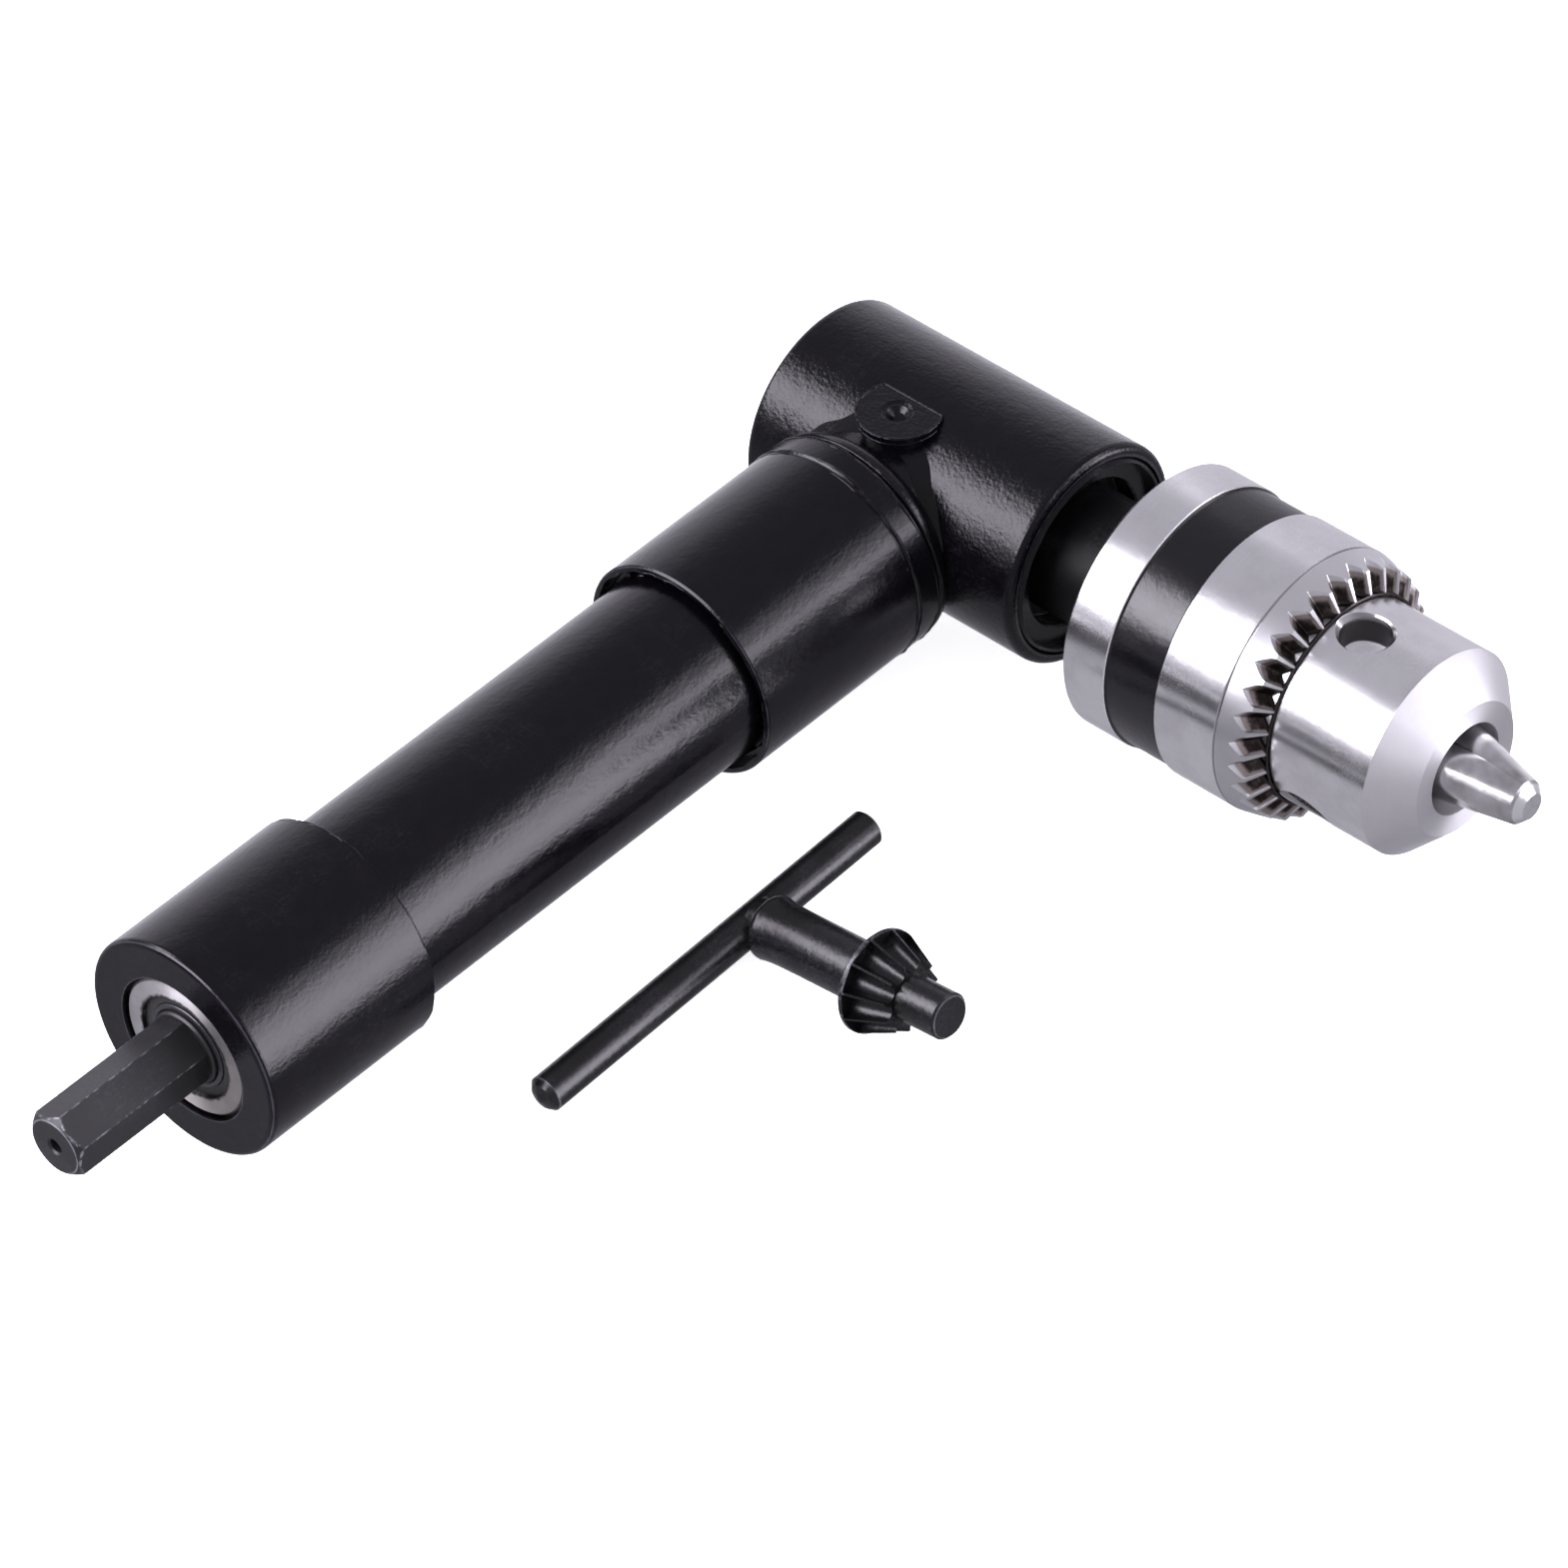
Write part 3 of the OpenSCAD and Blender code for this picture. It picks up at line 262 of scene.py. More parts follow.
def group_turned():
    """Tool marks round a turned piece: a noise that changes only along its outline, as height and as a tone."""
    inputs = [("Vector", VECTOR, None), ("Along", FLOAT, 0.0), ("About", FLOAT, 0.0),
              ("Pitch", FLOAT, 0.2 * MM), ("Depth", FLOAT, 0.003 * MM)]
    tree, w, ins, outs = new_group("turned_lines", inputs, [("Height", FLOAT), ("Tone", FLOAT)])
    outline = w.less(ins["Along"], w.times(ins["About"], 0.73))
    turn = w.math("DIVIDE", outline, ins["Pitch"])

    def marks(scale, detail, rough):
        feeds = {"W": turn, "Scale": scale, "Detail": detail, "Roughness": rough}
        return w.add("ShaderNodeTexNoise", feeds, noise_dimensions="1D").outputs["Fac"]

    fine, broad = marks(1.0, 3.0, 0.7), marks(0.12, 2.0, 0.5)
    patch = w.noise(ins["Vector"], 160.0, 2.0, 0.5)
    w.feed(outs["Height"], w.times(w.plus(fine, broad), ins["Depth"]))
    w.feed(outs["Tone"], w.plus(w.times(fine, 0.6), w.times(patch, 0.4)))
    return tree


def group_scratches():
    """Fine handling scratches: thin streaks where a stretched noise crosses its middle, in a few patches."""
    inputs = [("Vector", VECTOR, None), ("Scale", FLOAT, 300.0)]
    tree, w, ins, outs = new_group("scratches", inputs, [("Mask", FLOAT)])
    masks = []
    for turn, stretch in ((0.5, (1.0, 14.0, 3.0)), (-0.8, (11.0, 1.0, 4.0))):
        feeds = {"Vector": ins["Vector"], "Rotation": (turn, turn * 0.6, turn), "Scale": stretch}
        drawn = w.noise(w.add("ShaderNodeMapping", feeds).outputs[0], ins["Scale"], 2.0, 0.5)
        masks.append(w.soft(w.math("ABSOLUTE", w.less(drawn, 0.5)), 0.012, 0.002))
    kept = w.soft(w.noise(ins["Vector"], 90.0, 2.0, 0.6), 0.5, 0.62)
    w.feed(outs["Mask"], w.times(w.most(masks[0], masks[1]), kept))
    return tree


ROUND, RIM, PEEL, SPECKS = group_round_place(), group_rim(), group_peel(), group_specks()
TURNED, SCRATCHES = group_turned(), group_scratches()


def new_material(name):
    """A material with only its Principled shader and output; returns it with its wiring and the shader's inputs."""
    material = bpy.data.materials.new(name)
    material.use_nodes = True
    tree = material.node_tree
    tree.nodes.clear()
    w = Wiring(tree)
    shader = w.add("ShaderNodeBsdfPrincipled")
    out = w.add("ShaderNodeOutputMaterial")
    tree.links.new(shader.outputs[0], out.inputs["Surface"])
    return material, w, shader.inputs


def on_output(w):
    """Object place moved so that the output axis is the X axis."""
    return w.add("ShaderNodeMapping", {"Vector": w.object_place(), "Location": (0.0, -CROSS, 0.0)}).outputs[0]


def bump(w, height):
    """The normal of a surface that is raised by height, in metres."""
    return w.add("ShaderNodeBump", {"Height": height, "Distance": 1.0, "Strength": 1.0}).outputs[0]


def black_enamel(name, rims, across=False, fine=0.034 * MM, coarse=0.032 * MM, rough=0.18, stretch=0.6):
    """Gloss black enamel. rims are the circles (along, radius) where the edge is rubbed thin and lightened, partly as
    a painted edge highlight.
    """
    darkest, lightest = (0.0007, 0.0006, 0.0010, 1), (0.0017, 0.0014, 0.0023, 1)
    dust_grey, rubbed_and_highlight_grey = (0.05, 0.05, 0.055, 1), (0.035, 0.034, 0.042, 1)
    material, w, shader = new_material(name)
    place = on_output(w) if across else w.object_place()
    turned = w.group(ROUND, {"Vector": place})
    along, about = (turned["Along X"], turned["About X"]) if across else (turned["Along Y"], turned["About Y"])
    drawn = (stretch, 1.0, 1.0) if across else (1.0, stretch, 1.0)
    sprayed = w.add("ShaderNodeMapping", {"Vector": place, "Scale": drawn}).outputs[0]
    peel = w.group(PEEL, {"Vector": sprayed, "Fine": fine, "Coarse": coarse})
    specks = w.group(SPECKS, {"Vector": place, "Scale": 700.0, "Amount": 0.55})["Mask"]
    scratch = w.group(SCRATCHES, {"Vector": place, "Scale": 260.0})["Mask"]
    worn = 0.0
    for at, radius in rims:
        feeds = {"Vector": place, "Along": along, "About": about, "At": at, "Radius": radius,
                 "Width": 0.36 * MM, "Broken": 0.9}
        worn = w.most(worn, w.group(RIM, feeds)["Mask"])
    dusty = w.most(w.times(specks, 0.5), w.times(scratch, 0.12))
    tone = w.colour(peel["Tone"], darkest, lightest)
    tone = w.colour(dusty, tone, dust_grey)
    # Rims: rubbed paint, and a lighter grey painted in as the edges' highlight.
    w.feed(shader["Base Color"], w.colour(w.times(worn, 0.5), tone, rubbed_and_highlight_grey))
    gloss = w.value(peel["Tone"], rough - 0.03, rough + 0.05)
    w.feed(shader["Roughness"], w.plus(gloss, w.times(dusty, 0.25)))
    w.feed(shader["Normal"], bump(w, w.plus(peel["Height"], w.times(specks, 0.025 * MM))))
    shader["IOR"].default_value = 1.33
    return material


def hex_chips(w, place, turned, flat, first_angle, corner_less_chamfer):
    """Chipped edge of a hex end, where its 45 degree cone meets the flats.

    flat is their distance from the axis and first_angle the turn of one corner, in degrees.
    """
    side = math.radians(60.0)
    xyz = w.add("ShaderNodeSeparateXYZ", {"Vector": place}).outputs
    angle = w.plus(w.math("ARCTAN2", xyz[2], xyz[0]), math.radians(390.0 - first_angle))
    within = w.less(w.math("MODULO", angle, side), side / 2)
    across = w.times(turned["About Y"], w.math("COSINE", within))
    off_cone = w.less(turned["About Y"], w.plus(turned["Along Y"], corner_less_chamfer))
    near_cone = w.soft(w.math("ABSOLUTE", off_cone), 0.22 * MM, 0.06 * MM)
    near_flat = w.soft(across, flat - 0.24 * MM, flat - 0.07 * MM)
    broken = w.soft(w.noise(place, 1300.0, 4.0, 0.8), 0.46, 0.62)
    return w.times(w.times(near_cone, near_flat), broken)


def black_oxide(name, local=None, worn_about=None, worn_from=0.0, worn_to=0.0, worn_until=1.0, rough=0.42,
                tone=0.02, ends=(), wear=0.8, ior=1.55, chips=None, relief=0.005 * MM, dust=0.3):
    """Blackened steel, satin, with its corners rubbed light where they stand furthest from the axis.

    local is the location and rotation that bring the piece's own frame to the origin, and ends are
    the circles (along, about, at, radius) whose edge is rubbed.
    """
    darkest = (tone * 0.35, tone * 0.34, tone * 0.40, 1)
    lightest = (tone * 0.7, tone * 0.67, tone * 0.80, 1)
    bare_steel = (0.2, 0.2, 0.22, 1)
    material, w, shader = new_material(name)
    place = w.object_place()
    if local:
        feeds = {"Vector": place, "Location": local[0], "Rotation": local[1]}
        place = w.add("ShaderNodeMapping", feeds).outputs[0]
    turned = w.group(ROUND, {"Vector": place})
    grain = w.noise(place, 1500.0, 3.0, 0.6)
    cloud = w.noise(place, 170.0, 3.0, 0.55)
    specks = w.group(SPECKS, {"Vector": place, "Scale": 1100.0, "Amount": 0.6})["Mask"]
    scratch = w.group(SCRATCHES, {"Vector": place, "Scale": 420.0})["Mask"]
    worn = w.most(w.times(scratch, 0.12), w.times(specks, dust))
    if worn_about:
        edge = w.soft(turned[worn_about], worn_from, worn_to)
        uneven = w.soft(w.noise(place, 950.0, 4.0, 0.75), 0.44, 0.66)
        edge = w.times(edge, w.soft(turned["Along Y"], worn_until, worn_until - 1.0 * MM))
        worn = w.most(worn, w.times(w.times(edge, uneven), wear))
    if chips:
        worn = w.most(worn, w.times(hex_chips(w, place, turned, *chips), wear))
    for along, about, at, radius in ends:
        feeds = {"Vector": place, "Along": turned[along], "About": turned[about], "At": at, "Radius": radius,
                 "Width": 0.26 * MM, "Broken": 0.9}
        worn = w.most(worn, w.times(w.group(RIM, feeds)["Mask"], 0.6 * wear))
    w.feed(shader["Base Color"], w.colour(worn, w.colour(cloud, darkest, lightest), bare_steel))
    w.feed(shader["Metallic"], w.times(worn, 0.8))
    w.feed(shader["Roughness"], w.plus(rough - 0.06, w.times(grain, 0.14)))
    w.feed(shader["Normal"], bump(w, w.times(w.plus(grain, w.times(cloud, 3.0)), relief)))
    shader["IOR"].default_value = ior
    return material


def turned_steel(name, pitch=0.16 * MM, depth=0.0016 * MM, rough=0.2, bright=0.78, across=True, drawn=0.0):
    """Bright turned steel, not yet fed to its shader, so that its variants can change it first.

    drawn spreads its gloss across the tool marks. Returns its material, wiring and shader inputs, the place
    on it, the distance along and about its axis, and its tone, roughness and height.
    """
    axis = "X" if across else "Y"
    material, w, shader = new_material(name)
    if drawn:
        shader["Anisotropic"].default_value = drawn
        shader["Anisotropic Rotation"].default_value = 0.25
        w.feed(shader["Tangent"], w.add("ShaderNodeTangent", direction_type="RADIAL", axis=axis).outputs[0])
    place = on_output(w) if across else w.object_place()
    turned = w.group(ROUND, {"Vector": place})
    along, about = turned["Along " + axis], turned["About " + axis]
    feeds = {"Vector": place, "Along": along, "About": about, "Pitch": pitch, "Depth": depth}
    lines = w.group(TURNED, feeds)
    scratch = w.group(SCRATCHES, {"Vector": place, "Scale": 500.0})["Mask"]
    cloud = w.soft(w.noise(place, 150.0, 4.0, 0.6), 0.35, 0.7)
    grain = w.noise(place, 3200.0, 2.0, 0.6)
    between_marks = (bright * 0.86, bright * 0.86, bright * 0.87, 1)
    on_marks = (bright, bright, bright * 1.01, 1)
    clouded = (bright * 0.62, bright * 0.61, bright * 0.63, 1)
    tone = w.colour(w.times(cloud, 0.4), w.colour(lines["Tone"], between_marks, on_marks), clouded)
    rough_now = w.plus(w.value(lines["Tone"], rough - 0.05, rough + 0.1), w.times(scratch, 0.1))
    rough_now = w.plus(rough_now, w.times(cloud, 0.06))
    height = w.plus(lines["Height"], w.times(grain, depth * 1.6))
    return SimpleNamespace(material=material, w=w, shader=shader, place=place, along=along, about=about,
                           tone=tone, rough=rough_now, height=height)


def finish_steel(steel, metal=1.0):
    """Feeds a steel's tone, roughness and height to its shader, and returns its material."""
    w, shader = steel.w, steel.shader
    w.feed(shader["Base Color"], steel.tone)
    w.feed(shader["Metallic"], metal)
    w.feed(shader["Roughness"], steel.rough)
    w.feed(shader["Normal"], bump(w, steel.height))
    return steel.material


def chuck_nose_finish():
    """Nose of the chuck: bright turned steel, with painted shade inside its bores and on their chamfers, and pale
    floors in its key holes.
    """
    cone_grey, chamfer_painted_shade = (0.66, 0.655, 0.67, 1), (0.22, 0.21, 0.215, 1)
    bore_dark, floor_pale = (0.07, 0.065, 0.068, 1), (0.95, 0.94, 0.95, 1)
    steel = turned_steel("chuck_nose_steel", bright=0.92, rough=0.16, depth=0.0036 * MM, drawn=0.6)
    w, along, about = steel.w, steel.along, steel.about
    before_cone = w.soft(along, CONE_START - 0.2 * MM, CONE_START - 0.7 * MM)
    # Painted shade: the insides of the key holes and the jaws' mouth are toned dark.
    inside = w.times(w.soft(about, NOSE_R - 0.5 * MM, NOSE_R - 1.2 * MM), before_cone)
    mouth = w.times(w.soft(about, 6.35 * MM, 6.1 * MM), w.soft(along, FACE_X + 0.1 * MM, FACE_X - 0.6 * MM))
    painted_shade_hollow = w.most(inside, mouth)
    # Painted shade: the key holes' chamfered rims are toned darker.
    chamfer = w.times(w.soft(about, NOSE_R - 0.03 * MM, NOSE_R - 0.10 * MM), before_cone)
    hole_floor = w.times(w.soft(about, 9.5 * MM, 9.2 * MM),
                         w.band(along, FACE_X - 18.6 * MM, FACE_X - 11.4 * MM, 0.1 * MM))
    cone = w.soft(along, CONE_START, CONE_START + 0.2 * MM)
    tone = w.colour(w.times(chamfer, 0.7), steel.tone, chamfer_painted_shade)
    tone = w.colour(painted_shade_hollow, tone, bore_dark)
    tone = w.colour(hole_floor, tone, floor_pale)
    steel.tone = w.colour(w.times(cone, 0.5), tone, cone_grey)
    feeds = {"Vector": steel.place, "Along": along, "About": about, "Pitch": 0.34 * MM, "Depth": 0.003 * MM}
    steel.height = w.plus(steel.height, w.times(w.group(TURNED, feeds)["Height"], cone))
    rough = w.plus(steel.rough, w.plus(w.times(cone, 0.24), w.times(painted_shade_hollow, 0.15)))
    steel.rough = w.plus(rough, w.times(hole_floor, 0.3))
    return finish_steel(steel, w.less(1.0, w.times(hole_floor, 0.9)))


def sleeve_finish():
    """Toothed sleeve: turned steel rings, a blackened band, and brown grey tooth valleys between bright crests.

    The crests lie on two cones, and a point's depth below them tells valley from crest. Deeper in the valleys the
    brown stain is darkened as painted shade, and a painted shadow line runs round the tooth ring's inner rim.
    """
    valley_stain_and_shade_dark, valley_stain_light = (0.024, 0.018, 0.016, 1), (0.29, 0.25, 0.235, 1)
    dull_grey, painted_gap_shadow, groove_dark = (0.42, 0.42, 0.43, 1), (0.05, 0.042, 0.04, 1), (0.12, 0.11, 0.12, 1)
    ink_dark, ink_light, back_grey = (0.001, 0.0009, 0.0014, 1), (0.003, 0.0027, 0.0038, 1), (0.3, 0.3, 0.31, 1)
    steel = turned_steel("chuck_sleeve_steel", bright=0.92, rough=0.17, depth=0.0034 * MM, drawn=0.6)
    w, place, along, about = steel.w, steel.place, steel.along, steel.about
    band = w.band(along, SLEEVE_BACK + 6.75 * MM, SLEEVE_BACK + 14.95 * MM, 0.12 * MM)
    line_x, crest_x = SLEEVE_FRONT - 5.4 * MM, SLEEVE_FRONT - 1.4 * MM
    crest_r, front_r = SLEEVE_R - 0.9 * MM, SLEEVE_R - 3.7 * MM
    crest = w.least(w.line(along, line_x, crest_x, SLEEVE_R, crest_r),
                    w.line(along, crest_x, SLEEVE_FRONT, crest_r, front_r))
    below = w.less(crest, about)
    teeth = w.soft(along, line_x + 1.0 * MM, line_x + 1.3 * MM)
    valley = w.times(w.soft(below, 0.10 * MM, 0.42 * MM), teeth)
    stain = w.noise(place, 900.0, 4.0, 0.65)
    # Brown stain, darkened deeper in the valleys as painted shade.
    stain_and_depth_shade = w.soft(w.plus(stain, w.soft(below, 1.3 * MM, 0.2 * MM)), 0.40, 1.15)
    groove = w.band(along, line_x - 0.22 * MM, line_x + 0.22 * MM, 0.12 * MM)
    dull = w.soft(along, line_x, line_x + 0.4 * MM)
    # Painted shadow: a dark line round the tooth ring's inner rim, by the nose.
    rim = w.times(w.soft(about, SLEEVE_R - 3.35 * MM, SLEEVE_R - 3.55 * MM),
                  w.soft(along, line_x + 1.0 * MM, line_x + 1.4 * MM))
    outside = w.soft(about, SLEEVE_R - 2.0 * MM, SLEEVE_R - 1.6 * MM)
    hidden = w.times(w.less(1.0, outside), w.soft(along, line_x, line_x - 1.0 * MM))
    tone = w.colour(w.times(dull, 0.55), steel.tone, dull_grey)
    tone = w.colour(valley, tone, w.colour(stain_and_depth_shade, valley_stain_and_shade_dark, valley_stain_light))
    tone = w.colour(rim, tone, painted_gap_shadow)
    tone = w.colour(w.times(groove, 0.6), tone, groove_dark)
    tone = w.colour(band, tone, w.colour(w.noise(place, 240.0, 4.0, 0.6), ink_dark, ink_light))
    steel.tone = w.colour(hidden, tone, back_grey)
    steel.rough = w.plus(steel.rough, w.times(dull, 0.16))
    steel.height = w.plus(steel.height, w.times(stain, w.times(w.most(valley, band), 0.035 * MM)))
    steel.shader["IOR"].default_value = 1.46
    return finish_steel(steel, w.less(1.0, band))


def jaw_finish():
    """Ground hardened jaws: grey steel with marks across them and bright chamfers at the tip."""
    dark, light, tip_bright = (0.24, 0.23, 0.235, 1), (0.86, 0.85, 0.86, 1), (0.9, 0.9, 0.9, 1)
    material, w, shader = new_material("jaw_steel")
    place = on_output(w)
    turned = w.group(ROUND, {"Vector": place})
    ground = w.add("ShaderNodeMapping", {"Vector": place, "Scale": (1.0, 6.0, 6.0)}).outputs[0]
    marks = w.noise(ground, 900.0, 3.0, 0.65)
    cloud = w.noise(place, 300.0, 2.0, 0.5)
    tip = w.soft(turned["Along X"], JAW_TIP - 1.0 * MM, JAW_TIP - 0.8 * MM)
    w.feed(shader["Base Color"], w.colour(tip, w.colour(cloud, dark, light), tip_bright))
    shader["Metallic"].default_value = 1.0
    w.feed(shader["Roughness"], w.plus(0.1, w.times(marks, 0.22)))
    w.feed(shader["Normal"], bump(w, w.times(marks, 0.012 * MM)))
    return material


def plain_steel(name, bright, rough, across=False, warm=0.0):
    """Machined steel, or brass where it is warm, for the pieces inside."""
    steel = turned_steel(name, pitch=0.12 * MM, depth=0.0012 * MM, rough=rough, bright=bright, across=across)
    w = steel.w
    tint = (bright * (0.9 + warm), bright * (0.86 + warm * 0.5), bright * (0.84 - warm), 1)
    oil = w.noise(steel.place, 330.0, 3.0, 0.55)
    steel.tone = w.colour(w.times(oil, 0.3 + warm), steel.tone, tint)
    return finish_steel(steel)


def bearing_face(name):
    """Ground face of the open bearing's outer ring: pale steel, darker and browner to one side as painted shade, with
    stains, dark at its bore.
    """
    stain_and_shade_grey, bore_dark = (0.44, 0.42, 0.4, 1), (0.05, 0.045, 0.045, 1)
    steel = turned_steel(name, depth=0.003 * MM, rough=0.3, bright=0.9, across=False, drawn=0.8)
    w, place = steel.w, steel.place
    xyz = w.add("ShaderNodeSeparateXYZ", {"Vector": place}).outputs
    # Painted shade: the face darkens towards one side; the noise adds stains.
    side = w.soft(w.plus(xyz[0], w.times(xyz[2], -0.7)), -7.0 * MM, 8.0 * MM)
    stain = w.noise(place, 300.0, 4.0, 0.65)
    tone = w.colour(w.math("MULTIPLY", w.plus(side, stain), 0.62, clamp=True), steel.tone, stain_and_shade_grey)
    ragged_bore = w.less(steel.about, w.times(w.noise(place, 800.0, 3.0, 0.6), 0.9 * MM))
    steel.tone = w.colour(w.soft(ragged_bore, 7.1 * MM, 6.6 * MM), tone, bore_dark)
    steel.rough = w.plus(steel.rough, w.times(stain, 0.2))
    return finish_steel(steel)


def rubber(name):
    """Matt black seal rubber with a faint moulded grain."""
    darkest, lightest = (0.008, 0.008, 0.009, 1), (0.02, 0.02, 0.021, 1)
    material, w, shader = new_material(name)
    place = w.object_place()
    grain = w.noise(place, 1800.0, 3.0, 0.6)
    w.feed(shader["Base Color"], w.colour(grain, darkest, lightest))
    w.feed(shader["Roughness"], w.plus(0.55, w.times(grain, 0.2)))
    w.feed(shader["Normal"], bump(w, w.times(grain, 0.01 * MM)))
    return material


def key_frame():
    """The key's own frame, with its stem along +X and its bar along Y, and where that frame lies.

    The key leans on its bar's low end. Returns the location and rotation of a Mapping node that brings
    its frame to the origin, and the turn and place that bring it back.
    """
    heading, tilt, droop = math.radians(-0.4), math.radians(2.8), math.radians(-6.9)
    turn = (Matrix.Rotation(heading, 3, "Z") @ Matrix.Rotation(tilt, 3, "X")
            @ Matrix.Rotation(droop, 3, "Y"))
    height = BENCH + BAR_R * math.cos(tilt) + BAR_LOW_END * math.sin(tilt)
    junction = Vector((26.6 * MM, 89.8 * MM, height))
    back = turn.transposed()
    return tuple(-(back @ junction)), tuple(back.to_euler("XYZ")), turn, junction


KEY_LOCATION, KEY_ROTATION, KEY_TURN, KEY_JUNCTION = key_frame()


def dress(names, material):
    """Puts one material on CAD nodes."""
    for name in names:
        slots = nodes[name].data.materials
        slots.clear()
        slots.append(material)


def dress_housing():
    """Black enamel on the housing, rubbed thin at its edges, with a painted highlight there."""
    front_edge, ring_edge = (FRONT_END, FRONT_R - 0.1 * MM), (RING_END, FRONT_R - 0.1 * MM)
    dress(["rear_collar"], black_enamel("enamel_rear_collar", [
        (COLLAR_BACK + 0.2 * MM, COLLAR_R - 0.2 * MM), (COLLAR_FRONT, COLLAR_R - 0.1 * MM),
        (COLLAR_BACK, 9.9 * MM)]))
    dress(["middle_tube"], black_enamel("enamel_tube", [], fine=0.039 * MM, coarse=0.045 * MM))
    dress(["front_collar"], black_enamel("enamel_front_collar", [(FRONT_BACK, FRONT_R - 0.1 * MM), front_edge]))
    dress(["lock_ring"], black_enamel("enamel_lock_ring", [front_edge, ring_edge]))
    dress(["head_housing"], black_enamel("enamel_head", [
        (HEAD_END + 0.3 * MM, HEAD_R - 0.3 * MM), (HEAD_MOUTH, HEAD_R - 1.3 * MM)],
        across=True, fine=0.066 * MM, coarse=0.05 * MM, stretch=0.9))
    dress(["mouth_ring"], black_enamel("enamel_mouth_ring", [(HEAD_MOUTH + 0.4 * MM, 12.6 * MM)], across=True))


def dress_blackened():
    """Black oxide on the shank, the spindle's collar, the bearing's inner ring and the key."""
    key_local = (KEY_LOCATION, KEY_ROTATION)
    dress(["spindle_collar"], black_oxide("oxide_spindle_collar", rough=0.46, tone=0.003, wear=0.3, ior=1.24))
    dress(["hex_shaft"], black_oxide(
        "oxide_shaft", worn_about="About Y", worn_from=4.53 * MM, worn_to=4.62 * MM, worn_until=HEX_END,
        rough=0.44, tone=0.009, wear=0.8, ior=1.5, chips=(HEX_FLAT, HEX_TURN, 3.719 * MM),
        ends=[("Along Y", "About Y", 0.03 * MM, 3.7 * MM)]))
    dress(["rear_inner_ring"], black_oxide("oxide_inner_ring", rough=0.34, tone=0.02))
    dress(["key_bar"], black_oxide(
        "oxide_key_bar", local=key_local, rough=0.28, tone=0.004, wear=0.5, ior=1.42, relief=0.04 * MM, dust=0.08,
        ends=[("Along Y", "About Y", -36.5 * MM, 2.35 * MM), ("Along Y", "About Y", 19.8 * MM, 2.3 * MM)]))
    dress(["key_stem"], black_oxide(
        "oxide_key_stem", local=key_local, worn_about="About X", worn_from=6.55 * MM, worn_to=6.72 * MM,
        rough=0.28, tone=0.004, wear=0.5, ior=1.42, relief=0.04 * MM, dust=0.08,
        ends=[("Along X", "About X", 32.0 * MM, 2.75 * MM)]))


def dress_bearings_and_gears():
    """Steel, brass and rubber of the pieces inside."""
    dress(["rear_outer_ring"], bearing_face("bearing_face"))
    dress(["front_outer_ring", "front_inner_ring", "rear_balls", "front_balls"],
          plain_steel("bearing_steel", 0.66, 0.16))
    dress(["end_outer_ring", "end_inner_ring", "mouth_outer_ring", "mouth_inner_ring", "end_ball_set",
           "mouth_ball_set"], plain_steel("bearing_steel_across", 0.66, 0.16, across=True))
    dress(["rear_cage", "front_cage", "end_cage", "mouth_cage"], plain_steel("cage_brass", 0.62, 0.3, warm=0.28))
    dress(["bevel_pinion", "pinion_pin"], plain_steel("gear_steel", 0.42, 0.28))
    dress(["bevel_gear", "gear_cross_pin", "output_spindle", "closing_nut"],
          plain_steel("gear_steel_across", 0.42, 0.28, across=True))
    dress(["neck_circlip", "thrust_washer"], plain_steel("spring_steel", 0.3, 0.35))
    dress(["rear_seal", "mouth_seal"], rubber("seal_rubber"))


def dress_chuck():
    """Bright steel of the chuck."""
    dress(["chuck_body"], chuck_nose_finish())
    dress(["chuck_sleeve"], sleeve_finish())
    dress(["jaw_1", "jaw_2", "jaw_3"], jaw_finish())


def dress_cad_nodes():
    """A finish for each of the part's own nodes."""
    dress_housing()
    dress_blackened()
    dress_bearings_and_gears()
    dress_chuck()


def grid_piece(name, points, body, material):
    """A smooth ring through an n by m grid of points, closed along both.

    Its volume is the sum over its quads of a . (b x c) + a . (c x d), by six. Where that is below 0 the
    quads are turned over, so that they face outwards. Edges past 55 degrees stay sharp.
    """
    n, m = points.shape[:2]
    i, j = np.meshgrid(np.arange(n), np.arange(m), indexing="ij")
    after_i, after_j = (i + 1) % n, (j + 1) % m
    quads = np.stack([i * m + j, i * m + after_j, after_i * m + after_j, after_i * m + j], -1).reshape(-1, 4)
    places = points.reshape(-1, 3)
    a, b, c, d = (places[quads[:, k]] for k in range(4))
    volume = (a * (np.cross(b, c) + np.cross(c, d))).sum() / 6.0
    if volume < 0.0:
        quads = quads[:, ::-1]
    mesh = bpy.data.meshes.new(name)
    mesh.from_pydata(places.tolist(), [], quads.tolist())
    mesh.shade_smooth()
    mesh.set_sharp_from_angle(angle=math.radians(55.0))
    mesh.materials.append(material)
    piece = bpy.data.objects.new(name, mesh)
    bpy.context.scene.collection.objects.link(piece)
    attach(piece, body)
    return piece


def curve_through(corners, count):
    """Count points on (1 - t)^2 a + 2 t (1 - t) b + t^2 c, the quadratic curve from corner a past b to c."""
    t = np.linspace(0.0, 1.0, count)[:, None]
    start, middle, end = corners
    return (1 - t) ** 2 * start + 2 * t * (1 - t) * middle + t ** 2 * end


def ragged(rng, angle, low, high):
    """A periodic random wave round a circle, about 1 in size.

    It is the sum of sines of low to high waves a turn, the quick ones smaller.
    """
    counts = np.arange(low, high)[:, None]
    sizes = rng.normal(size=counts.shape) / counts
    sizes *= math.sqrt(2.0 / (sizes ** 2).sum())
    return (sizes * np.sin(counts * angle + rng.uniform(0.0, 2.0 * math.pi, counts.shape))).sum(0)


